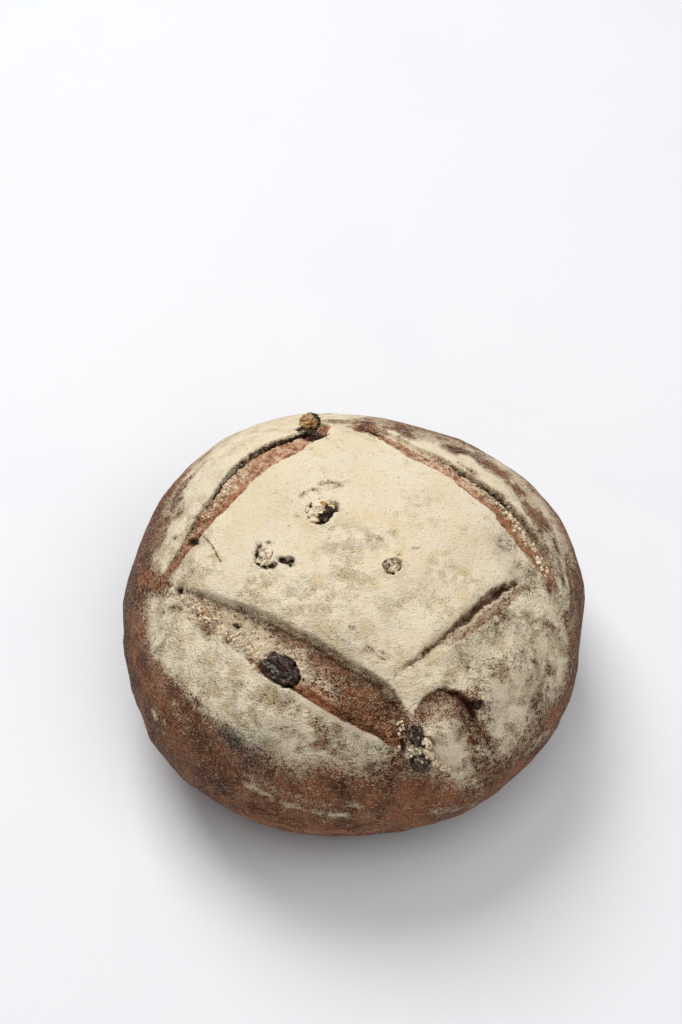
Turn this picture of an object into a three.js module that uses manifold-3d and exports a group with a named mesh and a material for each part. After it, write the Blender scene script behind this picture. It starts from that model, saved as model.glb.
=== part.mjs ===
// A round walnut and raisin loaf, baked on a hearth and dusted with flour.
// Four slashes form a square on its crown, and walnut pieces and raisins break through the crust.
// Millimetres, +Z up. The origin is the middle of the flat base, and -Y is the side that faces a viewer.
import * as THREE from "three";
import { ConvexHull } from "three/addons/math/ConvexHull.js";
import { mergeVertices } from "three/addons/utils/BufferGeometryUtils.js";
import Module from "manifold-3d";

// ---------------------------------------------------------------- driving dimensions

const LOAF_RADIUS = 93.15; // mean radius of the outline seen from above
const WAIST_HEIGHT = 42; // height of the widest ring above the base
const CROWN_RISE = 60; // crown above the waist
const UNDER_DROP = 57; // how far the lower curve would reach below the waist if the base didn't cut it
const BASE_ROUNDING = 3; // how softly the side turns into the flat base
const CROWN_AXIS = [-1, -0.35]; // the crown seen from above, placed so that the whole loaf is centred on the origin

// The outline's waves: how many round the loaf, their size as a share of the radius, and where they peak.
const OUTLINE_WAVES = [
  { count: 2, size: 0.006, peakDeg: -12 },
  { count: 3, size: 0.017, peakDeg: 6 },
  { count: 4, size: 0.0144, peakDeg: 34 },
  { count: 5, size: 0.003, peakDeg: 26 },
];

// Gentle lumps all over the crust: height in mm, wavelength in mm along each axis, and phase.
const LUMPS = [
  { height: 0.9, wave: [74, 88, 96], phase: [0.6, 1.9, 0.4] },
  { height: 0.55, wave: [47, 41, 53], phase: [2.1, 0.3, 1.2] },
  { height: 0.3, wave: [27, 31, 24], phase: [0.9, 2.6, 0.1] },
];

// The slashes and one tear. points are [x, y, half width of the opening] seen from above, counter-clockwise, so
// that the outer flap lies to the right. profile is [place across, height]: -1 is the square's edge, +1 the
// outer lip. Over the shares of the length in ramp each end runs out, and in lipRamp what stands proud. lean is
// how far the lip overhangs.
const SLASHES = {
  back_left: {
    points: [[-11, 64, 1.8], [-22, 54, 4.4], [-33, 47, 5.8], [-46, 36, 5.8], [-57, 21.5, 4.8], [-65.5, 8, 2.8],
      [-73, -2, 1.8]],
    profile: [[-1.7, 0], [-1.05, -0.6], [-0.88, -2.2], [0, -0.9], [0.5, -0.3], [0.7, -1], [0.86, -4.2],
      [0.93, -4], [1.02, 2.4], [1.6, 2], [3.2, 0]],
    ramp: [0.08, 0.22],
    lipRamp: [0.05, 0.3],
    lean: 1,
  },
  front_left: {
    points: [[-75, -6, 2.2], [-60, -21, 5.5], [-40, -35.5, 8], [-24, -46.5, 9], [-8, -56.5, 9], [6, -63.5, 8.6],
      [15, -69.5, 6]],
    profile: [[-1.9, 0], [-1.3, -0.8], [-0.98, -3.4], [-0.78, -5], [-0.45, -4], [0.1, -1.4], [0.55, -1.2],
      [0.84, -2.6], [0.94, -3], [1.03, 1.3], [1.5, 1], [2.6, 0]],
    ramp: [0.3, 0.05],
    lipRamp: [0.5, 0.05],
    lean: 0.8,
  },
  front_right: {
    points: [[12, -55, 1.7], [23, -48, 2], [34, -39.3, 2.5], [45.5, -29.5, 3.9], [57, -17.5, 4.2], [67, -7, 1.9]],
    profile: [[-2.2, 0], [-1.4, -0.8], [-0.9, -3.4], [-0.45, -3], [0.3, -1.5], [0.8, -1.1], [1.1, 0.7],
      [1.8, 0.5], [3.5, 0]],
    ramp: [0.15, 0.2],
    lipRamp: [0.15, 0.25],
    lean: 0,
  },
  back_right: {
    points: [[79, -5, 1.8], [72, 6.5, 3.8], [64.5, 17, 5], [55.5, 26.3, 4.4], [43, 35.5, 3.4], [26, 48.7, 3.4],
      [13, 59, 2.3], [0, 64.5, 1.7]],
    profile: [[-1.6, 0], [-1.05, -0.3], [-0.82, -2.2], [-0.1, -1.7], [0.5, -1.2], [0.82, -2.8], [1.05, 1],
      [1.7, 0.8], [3.2, 0]],
    ramp: [0.15, 0.25],
    lipRamp: [0.15, 0.4],
    lean: 0.3,
  },
  blister_tear: {
    points: [[49.5, -73, 2], [46.5, -65.5, 2.6], [41.5, -60.8, 3.2], [35.5, -58.8, 3.5], [29, -60.8, 3.5],
      [24.3, -66.5, 2.8], [21.5, -73, 2]],
    profile: [[-1.7, 0], [-1, -0.9], [0, -2.4], [0.62, -2.6], [1.05, 0.6], [1.8, 0.4], [3, 0]],
    ramp: [0.2, 0.2],
    lipRamp: [0.2, 0.2],
    lean: 0,
  },
};

// Round swellings and dents of the crust: middle seen from above, radius along and across, turn, and height.
const SWELLINGS = {
  blister: { at: [35, -69.5], radius: [9.5, 11.5], turnDeg: -8, height: 3.6 },
  flap_front: { at: [-38, -66], radius: [34, 17], turnDeg: -28, height: 2 },
  flap_back: { at: [-52, 52], radius: [34, 15], turnDeg: 44, height: 1.6 },
  flap_right: { at: [62, -44], radius: [27, 17], turnDeg: 42, height: 1.8 },
  knuckle: { at: [53, -47], radius: [10, 8], turnDeg: 30, height: 1.3 },
  square_crown: { at: [2, 0], radius: [52, 46], turnDeg: 0, height: -1.6 },
};

// What breaks through the crust: middle seen from above, how deep its middle sits, its length, width and
// thickness, its turn round the crust's normal, and how far it leans out of the crust.
const WALNUTS = {
  walnut_crown: { at: [-14.1, 16.2], sunk: 2.6, size: [14, 12.5, 9], turnDeg: 25, folds: 5, seed: 1.3 },
  walnut_rim: { at: [-17.5, 67.5], sunk: -2.6, size: [10.5, 9, 8.5], turnDeg: 20, folds: 4, seed: 4.1 },
  walnut_chip: { at: [26, -72.6], sunk: 0.2, size: [5.6, 4.6, 4.4], turnDeg: -60, folds: 3, seed: 2.2 },
};
const RAISINS = {
  raisin_left: { at: [-34.6, -3.6], sunk: 2.4, size: [9.5, 8.6, 7], turnDeg: 60, seed: 0.4 },
  raisin_left_small: { at: [-26.6, -7], sunk: 1.9, size: [7.5, 4.8, 5], turnDeg: -25, seed: 3.1 },
  raisin_right: { at: [13.5, -9.8], sunk: 2.6, size: [10, 9, 7.4], turnDeg: 35, seed: 1.7 },
  raisin_slash: { at: [-28.3, -50.2], sunk: 0.2, size: [18.5, 10.6, 9], turnDeg: -42, seed: 2.4 },
  raisin_low_upper: { at: [21.8, -71], sunk: 0.8, size: [8.2, 7, 7], turnDeg: -70, seed: 5.2 },
  raisin_low_lower: { at: [24.7, -78], sunk: 0.8, size: [9, 7.6, 7], turnDeg: -62, seed: 0.9 },
  raisin_tear: { at: [46.4, -58.2], sunk: 0.9, size: [5.6, 4.4, 4.6], turnDeg: 15, seed: 4.6 },
};

const POCKET_GAP = 0.5; // between a nut or raisin and the crumb round it
const ROW_STEP = 3.6; // spacing of the mesh along a slash, at most
const ROW_STEP_SHARE = 0.6; // and as a share of its widest half width
const NARROW_OPENING = 1.8; // half width under which a row of the mesh has only every other point
const TOP_STEP = 5.2; // spacing of the mesh on the crown
const SIDE_STEP = 7.4; // on the side
const BASE_STEP = 15; // on the flat base
const PIECE_DETAIL = 3; // icosahedron subdivisions of a walnut or raisin
const POCKET_DETAIL = 2; // and of the pocket that it sits in

// ---------------------------------------------------------------- small helpers

const rad = THREE.MathUtils.degToRad;
const smooth = THREE.MathUtils.smoothstep;

// Height across a profile of [place, height] stations, eased between them, and 0 outside.
function heightAcross(profile, place) {
  if (place <= profile[0][0] || place >= profile.at(-1)[0]) return 0;
  const k = profile.findIndex((station) => station[0] > place);
  const [from, low] = profile[k - 1];
  const [to, high] = profile[k];
  return THREE.MathUtils.lerp(low, high, smooth(place, from, to));
}

// ---------------------------------------------------------------- the loaf's own form

function waveRadius(angle) {
  const waves = OUTLINE_WAVES.map((w) => w.size * Math.cos(w.count * (angle - rad(w.peakDeg))));
  return LOAF_RADIUS * (1 + waves.reduce((sum, w) => sum + w, 0));
}

// The place on the bare form that a unit direction stands for: up is the crown, down the middle of the base.
function bareForm(direction) {
  const angle = Math.atan2(direction.y, direction.x);
  const radius = waveRadius(angle);
  const rise = direction.z > 0 ? CROWN_RISE : UNDER_DROP;
  const height = WAIST_HEIGHT + rise * direction.z;
  const place = new THREE.Vector3(
    direction.x * radius + CROWN_AXIS[0],
    direction.y * radius + CROWN_AXIS[1],
    softFloor(height),
  );
  const normal = new THREE.Vector3(direction.x / radius, direction.y / radius, direction.z / rise).normalize();
  return { place, normal };
}

// Heights below the base come up to it, with a rounded turn.
function softFloor(height) {
  if (height >= BASE_ROUNDING) return height;
  if (height <= -BASE_ROUNDING) return 0;
  return (height + BASE_ROUNDING) ** 2 / (4 * BASE_ROUNDING);
}

// The unit direction of the crust straight above a point of the plan.
function directionAbove(x, y) {
  const angle = Math.atan2(y - CROWN_AXIS[1], x - CROWN_AXIS[0]);
  const share = Math.min(Math.hypot(x - CROWN_AXIS[0], y - CROWN_AXIS[1]) / waveRadius(angle), 0.999);
  return new THREE.Vector3(share * Math.cos(angle), share * Math.sin(angle), Math.sqrt(1 - share * share));
}

// ---------------------------------------------------------------- slashes

class Slash {
  constructor({ points, profile, ramp, lipRamp, lean }) {
    this.line = new THREE.SplineCurve(points.map(([x, y]) => new THREE.Vector2(x, y)));
    this.widths = new THREE.SplineCurve(points.map(([, , w], k) => new THREE.Vector2(k, w)));
    this.profile = profile;
    this.ramp = ramp;
    this.lipRamp = lipRamp;
    this.lean = lean;
    this.steps = 16 * (points.length - 1);
    this.samples = Array.from({ length: this.steps + 1 }, (_, k) => this.at(k / this.steps));
  }

  // The middle line's point, its direction to the outer side and the opening's half width there.
  at(share) {
    const middle = this.line.getPoint(share);
    const along = this.line.getTangent(share);
    return { share, middle, out: new THREE.Vector2(along.y, -along.x), width: this.widths.getPoint(share).y };
  }

  // How much of its full depth, or of its lip, the slash has at a share of its length.
  ramped([start, end], share) {
    return smooth(share, 0, start) * smooth(1 - share, 0, end);
  }

  // The nearest sample of the middle line, and the place across the opening, for a point of the plan.
  across(x, y) {
    let best = null;
    let least = Infinity;
    for (const sample of this.samples) {
      const distance = (sample.middle.x - x) ** 2 + (sample.middle.y - y) ** 2;
      if (distance < least) {
        least = distance;
        best = sample;
      }
    }
    const side = (x - best.middle.x) * best.out.x + (y - best.middle.y) * best.out.y;
    return { sample: best, place: (Math.sign(side) * Math.sqrt(least)) / best.width };
  }

  // Its share of the crust's height, and how far it pulls the crust across the plan.
  relief(x, y) {
    const { sample, place } = this.across(x, y);
    const full = heightAcross(this.profile, place);
    const lip = this.ramped(this.lipRamp, sample.share);
    const pull = -this.lean * lip * smooth(place, 0.93, 1) * (1 - smooth(place, 1, 2));
    const height = full * (full > 0 ? lip : this.ramped(this.ramp, sample.share));
    return { height, shift: sample.out.clone().multiplyScalar(pull) };
  }

  // Points of the plan along the rows that the mesh needs to show the profile.
  rows() {
    const step = Math.min(ROW_STEP, ROW_STEP_SHARE * Math.max(...this.samples.map(({ width }) => width)));
    const rows = Math.round(this.line.getLength() / step);
    const places = this.profile.slice(0, -1).map(([place]) => place);
    const found = [];
    for (let k = 0; k <= rows; k++) {
      const { middle, out, width } = this.at(k / rows);
      const spaced = places.filter((p, n) => width > NARROW_OPENING || n % 2 === 0);
      spaced.forEach((p) => found.push(middle.clone().addScaledVector(out, p * width)));
    }
    return found;
  }
}

const slashes = Object.values(SLASHES).map((slash) => new Slash(slash));

// ---------------------------------------------------------------- the crust with all its relief

function lumps({ x, y, z }) {
  const wave = (value, length, phase) => Math.sin((2 * Math.PI * value) / length + phase);
  const sum = LUMPS.reduce(
    (total, { height, wave: [wx, wy, wz], phase: [px, py, pz] }) =>
      total + height * wave(x, wx, px) * wave(y, wy, py) * Math.cos((2 * Math.PI * z) / wz + pz),
    0,
  );
  return sum * smooth(z, 4, 26);
}

function swellings(x, y) {
  return Object.values(SWELLINGS).reduce((total, { at, radius, turnDeg, height }) => {
    const local = new THREE.Vector2(x - at[0], y - at[1]).rotateAround(new THREE.Vector2(), -rad(turnDeg));
    const reach = Math.hypot(local.x / radius[0], local.y / radius[1]);
    return total + height * (1 - smooth(reach, 0.15, 1));
  }, 0);
}

// The finished crust in a unit direction: its place and the bare form's normal there.
function crust(direction) {
  const { place, normal } = bareForm(direction);
  let height = lumps(place);
  const shift = new THREE.Vector2();
  if (direction.z > 0) {
    height += swellings(place.x, place.y) * smooth(direction.z, 0.1, 0.4);
    for (const slash of slashes) {
      const relief = slash.relief(place.x, place.y);
      height += relief.height;
      shift.add(relief.shift);
    }
  }
  const raised = place.clone().addScaledVector(normal, height);
  return { place: raised.add(new THREE.Vector3(shift.x, shift.y, 0)), normal };
}

// ---------------------------------------------------------------- the loaf's mesh

// Unit directions, closest together along the slashes and furthest apart under the base.
function meshDirections() {
  const kept = slashes.flatMap((slash) => slash.rows()).map(({ x, y }) => directionAbove(x, y));
  const directions = [];
  const add = (direction, clearance) => {
    const near = directions.some((d) => d.distanceTo(direction) * LOAF_RADIUS < clearance);
    if (!near) directions.push(direction);
  };
  kept.forEach((direction) => add(direction, 0.42));
  let fall = 0;
  for (let ring = 0; fall < Math.PI; ring++) {
    const step = THREE.MathUtils.lerp(TOP_STEP, SIDE_STEP, smooth(fall, rad(50), rad(85)));
    const spacing = THREE.MathUtils.lerp(step, BASE_STEP, smooth(fall, rad(128), rad(150)));
    const count = Math.max(1, Math.round((2 * Math.PI * LOAF_RADIUS * Math.sin(fall)) / spacing));
    for (let k = 0; k < count; k++) {
      const angle = (2 * Math.PI * (k + 0.5 * (ring % 2))) / count;
      const direction = new THREE.Vector3().setFromSphericalCoords(1, fall, angle);
      add(new THREE.Vector3(direction.x, direction.z, direction.y), 0.6 * spacing);
    }
    fall += (0.87 * spacing) / LOAF_RADIUS;
  }
  return directions;
}

// Joins directions into triangles by their convex hull, and lifts each onto the crust.
function loafGeometry() {
  const directions = meshDirections();
  const order = new Map(directions.map((direction, k) => [direction, k]));
  const index = [];
  for (const face of new ConvexHull().setFromPoints(directions).faces) {
    const first = face.edge;
    for (let edge = first.next; edge.next !== first; edge = edge.next)
      index.push(order.get(first.head().point), order.get(edge.head().point), order.get(edge.next.head().point));
  }
  const positions = directions.flatMap((direction) => crust(direction).place.toArray());
  return new THREE.BufferGeometry()
    .setAttribute("position", new THREE.Float32BufferAttribute(positions, 3))
    .setIndex(index);
}

// ---------------------------------------------------------------- nuts and raisins

// The frame of a piece that sits in the crust: local Z is the crust's normal, local X the piece's length.
function seat({ at, sunk, turnDeg }) {
  const { place, normal } = crust(directionAbove(at[0], at[1]));
  const along = new THREE.Vector3(Math.cos(rad(turnDeg)), Math.sin(rad(turnDeg)), 0);
  const side = new THREE.Vector3().crossVectors(normal, along).normalize();
  const front = new THREE.Vector3().crossVectors(side, normal);
  return new THREE.Matrix4()
    .makeBasis(front, side, normal)
    .setPosition(place.clone().addScaledVector(normal, -sunk));
}

// A closed ball of unit radius, each of its points moved along its own direction by a share.
function shapedBall(detail, shareOf) {
  const ball = new THREE.IcosahedronGeometry(1, detail).deleteAttribute("normal").deleteAttribute("uv");
  const geometry = mergeVertices(ball);
  const { position } = geometry.attributes;
  const point = new THREE.Vector3();
  for (let k = 0; k < position.count; k++) {
    point.fromBufferAttribute(position, k);
    point.multiplyScalar(shareOf(point));
    position.setXYZ(k, point.x, point.y, point.z);
  }
  return geometry;
}

// A raisin's skin falls in long wrinkles, and a walnut's kernel in deep crooked folds.
function raisinShare(seed) {
  return ({ x, y, z }) =>
    1 - 0.1 * Math.abs(Math.sin(6 * y + 1.8 * Math.sin(2.2 * x + seed))) - 0.05 * Math.sin(7 * z + 3 * x + seed) ** 2;
}

function walnutShare(folds, seed) {
  return ({ x, y, z }) => {
    const crooked = Math.sin(folds * y + 1.7 * Math.sin(2.4 * x + seed) + 1.1 * z);
    const lobes = Math.sin(3.1 * x + seed) * Math.cos(2.7 * z - seed);
    return 0.9 - 0.2 * (1 - Math.abs(crooked)) ** 2 + 0.08 * lobes;
  };
}

function placed(geometry, { size }, grow, matrix) {
  const stretch = new THREE.Matrix4().makeScale(size[0] / 2 + grow, size[1] / 2 + grow, size[2] / 2 + grow);
  return geometry.applyMatrix4(matrix.clone().multiply(stretch));
}

// ---------------------------------------------------------------- materials

const crustMaterial = new THREE.MeshStandardMaterial({ color: 0xcdb693, roughness: 0.9, metalness: 0 });
const walnutMaterial = new THREE.MeshStandardMaterial({ color: 0xa9814c, roughness: 0.75, metalness: 0 });
const raisinMaterial = new THREE.MeshStandardMaterial({ color: 0x3a2620, roughness: 0.55, metalness: 0 });

// ---------------------------------------------------------------- assembly

const wasm = await Module();
wasm.setup();

function toSolid(geometry) {
  return new wasm.Manifold(
    new wasm.Mesh({
      numProp: 3,
      vertProperties: new Float32Array(geometry.attributes.position.array),
      triVerts: new Uint32Array(geometry.index.array),
    }),
  );
}

function toGeometry(solid) {
  const mesh = solid.getMesh();
  const geometry = new THREE.BufferGeometry()
    .setAttribute("position", new THREE.BufferAttribute(mesh.vertProperties, 3))
    .setIndex(new THREE.BufferAttribute(mesh.triVerts, 1));
  geometry.computeVertexNormals();
  return geometry;
}

const loaf = new THREE.Group();
const pockets = [];

// Each piece gives way to the ones before it, and the loaf to them all.
function addPieces(pieces, material, shareOf) {
  for (const [name, piece] of Object.entries(pieces)) {
    const matrix = seat(piece);
    let solid = toSolid(placed(shapedBall(PIECE_DETAIL, shareOf(piece)), piece, 0, matrix));
    pockets.forEach((pocket) => (solid = solid.subtract(pocket)));
    pockets.push(toSolid(placed(shapedBall(POCKET_DETAIL, () => 1), piece, POCKET_GAP, matrix)));
    addMesh(name, solid, material);
  }
}

function addMesh(name, solid, material) {
  const mesh = new THREE.Mesh(toGeometry(solid), material);
  mesh.name = name;
  loaf.add(mesh);
}

addPieces(WALNUTS, walnutMaterial, ({ folds, seed }) => walnutShare(folds, seed));
addPieces(RAISINS, raisinMaterial, ({ seed }) => raisinShare(seed));

addMesh("loaf", toSolid(loafGeometry()).subtract(wasm.Manifold.union(pockets)), crustMaterial);

export default loaf;
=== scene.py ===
import math
from typing import NamedTuple

import bpy
import numpy as np
from bpy.props import FloatProperty, FloatVectorProperty, IntProperty, PointerProperty
from mathutils import Matrix, Vector


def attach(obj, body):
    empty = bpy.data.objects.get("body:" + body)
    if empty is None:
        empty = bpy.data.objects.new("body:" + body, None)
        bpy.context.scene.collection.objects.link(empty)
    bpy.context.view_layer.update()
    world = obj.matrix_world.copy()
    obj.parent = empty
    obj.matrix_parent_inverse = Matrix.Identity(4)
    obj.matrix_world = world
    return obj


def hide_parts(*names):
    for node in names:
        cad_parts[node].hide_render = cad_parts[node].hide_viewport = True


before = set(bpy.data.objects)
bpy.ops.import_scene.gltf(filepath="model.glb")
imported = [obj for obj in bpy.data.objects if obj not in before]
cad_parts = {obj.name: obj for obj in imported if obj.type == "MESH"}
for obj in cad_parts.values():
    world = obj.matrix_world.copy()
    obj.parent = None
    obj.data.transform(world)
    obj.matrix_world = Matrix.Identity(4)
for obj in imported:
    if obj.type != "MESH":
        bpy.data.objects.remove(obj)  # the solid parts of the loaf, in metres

bl_info = {
    "name": "Walnut and raisin loaf",
    "version": (1, 0, 0),
    "blender": (4, 5, 0),
    "location": "3D View > Sidebar > Loaf",
    "description": "A floured hearth loaf with a square of slashes, walnut pieces and raisins",
    "category": "Add Mesh",
}

# Lengths are millimetres in the loaf's own frame, and MM turns them into metres.
MM = 0.001

# ------------------------------------------------------------------ the loaf's form, as its solid has it

LOAF_RADIUS = 93.15
WAIST_HEIGHT = 42
CROWN_RISE = 60
UNDER_DROP = 57
BASE_ROUNDING = 3
CROWN_AXIS = np.array([-1.0, -0.35])
OUTERMOST = 0.999  # how near the waist a point seen from above may come, as a share of the radius

# How many waves go round the outline, their size as a share of the radius, and the bearing of their crest.
OUTLINE_WAVES = [(2, 0.006, -12), (3, 0.017, 6), (4, 0.0144, 34), (5, 0.003, 26)]

# Gentle lumps all over: height, wavelengths along the axes, phases.
LUMPS = [
    (0.9, (74, 88, 96), (0.6, 1.9, 0.4)),
    (0.55, (47, 41, 53), (2.1, 0.3, 1.2)),
    (0.3, (27, 31, 24), (0.9, 2.6, 0.1)),
]

# Round swellings seen from above: middle, radii, turn in degrees, height.
SWELLINGS = {
    "blister": ((35, -69.5), (9.5, 11.5), -8, 3.6),
    "flap_front": ((-38, -66), (34, 17), -28, 2),
    "flap_back": ((-52, 52), (34, 15), 44, 1.6),
    "flap_right": ((62, -44), (27, 17), 42, 1.8),
    "knuckle": ((53, -47), (10, 8), 30, 1.3),
    "square_crown": ((2, 0), (52, 46), 0, -1.6),
}

# The slashes and one tear. points are x, y and half width of the opening, seen from above. profile holds
# places across and the height at each, where -1 is the square's edge and 1 the outer lip. ramp and lip_ramp
# are the shares of the length over which the ends run out, lean is the lip's overhang, and opens is the
# share of the length over which the outer side starts to stand apart. paint lists what shows in the
# opening: a layer, places across with the amount at each, and shares of the length with the amount at each.
# In the openings the hollow layer paints shade into the slots under the lips and along the valleys.
# In the openings the roast layer paints dark crust together with the shade of their valleys.
SLASHES = {
    "back_left": {
        "points": [(-11, 64, 1.8), (-22, 54, 4.4), (-33, 47, 5.8), (-46, 36, 5.8), (-57, 21.5, 4.8),
                   (-65.5, 8, 2.8), (-73, -2, 1.8)],
        "profile": (-1.7, 0, -1.05, -0.6, -0.88, -2.2, 0, -0.9, 0.5, -0.3, 0.7, -1, 0.86, -3.2, 0.93, -3,
                    1.02, 2, 1.6, 2, 3.2, 0),
        "ramp": (0.08, 0.8), "lip_ramp": (0.05, 0.95), "lean": 1.0,
        "paint": [
            ("torn", (-1.15, 0, -0.95, 1, 0.9, 1, 1, 0), (0, 1, 0.5, 1, 0.62, 0.8, 0.95, 0.6)),
            ("ember_and_bounce_light", (-1.25, 0, -1, 0.75, 0.2, 0.6, 0.8, 0.3, 1, 0), (0.45, 0, 0.55, 1, 0.95, 1, 1, 0)),
            ("crumbs", (-0.8, 0, -0.2, 0.8, 0.8, 0.8, 0.95, 0),
             (0.38, 0, 0.48, 1, 0.7, 0.8, 0.9, 0.5, 0.97, 0)),
            ("hollow_shade", (0.7, 0, 0.84, 1, 1.03, 1, 1.1, 0), (0, 0.8, 0.08, 1, 0.3, 1, 0.42, 0)),
            ("hollow_shade", (0.8, 0, 0.91, 1, 1.02, 0.9, 1.07, 0), (0.3, 0, 0.4, 1, 0.52, 0.8, 0.68, 0.5, 1, 0.2)),
        ],
    },
    "front_left": {
        "points": [(-75, -6, 2.2), (-60, -21, 5.5), (-40, -35.5, 8), (-24, -46.5, 9), (-8, -56.5, 9),
                   (6, -63.5, 8.6), (15, -69.5, 6)],
        "profile": (-1.9, 0, -1.3, -0.8, -0.98, -3.4, -0.78, -5, -0.45, -4, 0.1, -1.4, 0.55, -1.2, 0.84,
                    -2.6, 0.94, -3, 1.03, 1.3, 1.5, 1, 2.6, 0),
        "ramp": (0.3, 0.05), "lip_ramp": (0.5, 0.05), "lean": 0.8, "opens": (0.36, 0.52),
        "paint": [
            ("scrape", (-1.5, 0, -1.05, 0.5, -0.7, 0.76, -0.2, 0.6, 0.2, 0.45, 0.9, 0.3, 1.1, 0),
             (0.02, 0, 0.12, 0.6, 0.5, 0.72, 0.65, 1, 1, 1)),
            ("scrape", (-1, 0, -0.8, 0.85, 0.9, 0.95, 1, 0), (0.58, 0, 0.78, 0.95, 1, 1)),
            ("roast_and_shade", (-1.35, 0, -0.95, 0.85, -0.5, 0.7, 0, 0), (0.02, 0, 0.1, 0.75, 0.5, 0.85, 0.95, 1)),
            ("hollow_shade", (-1.15, 0, -0.88, 0.3, -0.6, 0.24, -0.35, 0),
             (0.03, 0, 0.1, 0.9, 0.5, 1, 0.75, 0.5, 0.95, 0.2)),
            ("dust", (0.99, 0, 1.04, 1.3, 1.14, 1.3, 1.4, 0), (0.4, 0, 0.5, 1, 0.97, 1, 1, 0)),
            ("torn", (0.3, 0, 0.55, 1, 0.9, 1, 1, 0), (0.42, 0, 0.5, 1, 0.66, 1, 0.76, 0)),
            ("ember_and_bounce_light", (0.5, 0, 0.7, 1, 0.92, 1, 1, 0), (0.38, 0, 0.43, 0.8, 0.62, 1, 0.85, 0.5, 1, 0)),
            ("ember_and_bounce_light", (-0.3, 0, 0.3, 0.5, 0.95, 0.62, 1, 0), (0.62, 0, 0.78, 1, 1, 1)),
            ("crumbs", (-0.6, 0, -0.1, 0.6, 0.7, 0.6, 1.2, 0), (0.04, 0, 0.2, 1, 0.55, 1, 0.68, 0)),
        ],
    },
    "front_right": {
        "points": [(12, -55, 1.2), (23, -48, 1.5), (34, -39.3, 2.1), (45.5, -29.5, 3.3), (57, -17.5, 3.7),
                   (67, -7, 1.9)],
        "profile": (-2.2, 0, -1.4, -0.8, -0.9, -3.3, -0.45, -2.9, 0.2, -1.3, 0.7, -0.8, 1.25, 0.45, 2, 0.4,
                    3.5, 0),
        "ramp": (0.4, 0.2), "lip_ramp": (0.3, 0.25), "lean": 0.0,
        "paint": [
            ("scrape", (-1.7, 0, -1.1, 0.5, -0.6, 0.7, -0.1, 0), (0, 0.5, 0.3, 0.8, 0.9, 1, 1, 0)),
            ("roast_and_shade", (-1.3, 0, -0.95, 0.9, -0.4, 0.7, 0.1, 0), (0.1, 0, 0.35, 1, 0.9, 1, 1, 0)),
            ("hollow_shade", (-1.1, 0, -0.8, 0.42, -0.5, 0.3, -0.2, 0), (0.3, 0, 0.5, 1, 0.85, 1, 1, 0)),
            ("crumbs", (-0.4, 0, 0, 0.66, 0.9, 0.6, 1.3, 0), (0.35, 0, 0.5, 1, 0.9, 1, 1, 0)),
            ("torn", (-0.4, 0, 0, 0.45, 0.7, 0.45, 0.95, 0), (0.4, 0, 0.55, 1, 0.85, 1, 1, 0)),
        ],
    },
    "back_right": {
        "points": [(79, -5, 1.8), (72, 6.5, 3.8), (64.5, 17, 5), (55.5, 26.3, 4.4), (43, 35.5, 3.4),
                   (26, 48.7, 3.4), (13, 59, 2.3), (0, 64.5, 1.7)],
        "profile": (-1.6, 0, -1.05, -0.3, -0.82, -2.2, -0.1, -1.7, 0.5, -1.2, 0.84, -2.3, 1.05, 0.8, 1.7,
                    0.8, 3.2, 0),
        "ramp": (0.15, 0.25), "lip_ramp": (0.15, 0.4), "lean": 0.3,
        "paint": [
            ("torn", (-1.3, 0, -1.05, 1, 0.3, 1, 0.6, 0), (0, 0.3, 0.1, 1, 0.8, 1, 1, 0.2)),
            ("ember_and_bounce_light", (-1.35, 0, -1, 0.7, 0, 0.55, 0.6, 0), (0, 0, 0.1, 1, 0.4, 1, 0.6, 0)),
            ("crumbs", (-0.6, 0, 0.1, 0.75, 1.1, 0.85, 1.4, 0), (0, 0, 0.1, 1, 0.65, 1, 0.8, 0)),
            ("hollow_shade", (0.74, 0, 0.88, 0.66, 0.98, 0.66, 1.08, 0),
             (0.05, 0, 0.25, 0.7, 0.4, 1, 0.62, 1, 0.72, 0)),
            ("hollow_shade", (-0.4, 0, 0, 0.8, 0.5, 0.8, 0.9, 0), (0.86, 0, 0.9, 1, 0.96, 1, 1, 0)),
        ],
    },
    "blister_tear": {
        "points": [(47, -73.5, 2.2), (44.6, -66, 2.8), (40.8, -60.8, 3.2), (35.5, -58.8, 3.5),
                   (29, -60.8, 3.5), (24.3, -66.5, 2.8), (21.5, -73, 2)],
        "profile": (-1.7, 0, -1, -0.9, 0, -2.4, 0.62, -2.6, 1.05, 0.6, 1.8, 0.4, 3, 0),
        "ramp": (0.3, 0.6), "lip_ramp": (0.3, 0.6), "lean": 0.0,
        "paint": [
            ("scrape", (-2.1, 0, -0.8, 0.6, 0.8, 0.75, 1.3, 0), (0, 0.4, 0.2, 1, 0.45, 1, 0.65, 0.7, 1, 0.6)),
            ("roast_and_shade", (-1.3, 0, 0.2, 0.6, 0.9, 0.75, 1.3, 0),
             (0, 0.2, 0.2, 0.9, 0.45, 1, 0.65, 0.45, 1, 0.1)),
            ("hollow_shade", (0.4, 0, 0.75, 0.62, 1.05, 0.62, 1.25, 0), (0.16, 0, 0.28, 1, 0.42, 1, 0.52, 0)),
        ],
    },
}

# ------------------------------------------------------------------ what else is painted on the crust

# The crust map is a flat map of the crust whose middle is the crown: a point's distance from it follows the
# crust down the side, at LOAF_RADIUS for each radian, and its bearing is the loaf's own.

# Where the flour ends: bearing in degrees and distance down the crust.
FLOUR_EDGE = [(0, 116), (30, 112), (55, 98), (75, 96), (90, 112), (120, 116), (145, 108), (165, 101),
              (183, 96), (195, 104), (210, 107), (228, 102), (246, 104), (264, 102), (283, 101), (299, 128),
              (315, 127), (334, 124), (348, 120)]

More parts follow.
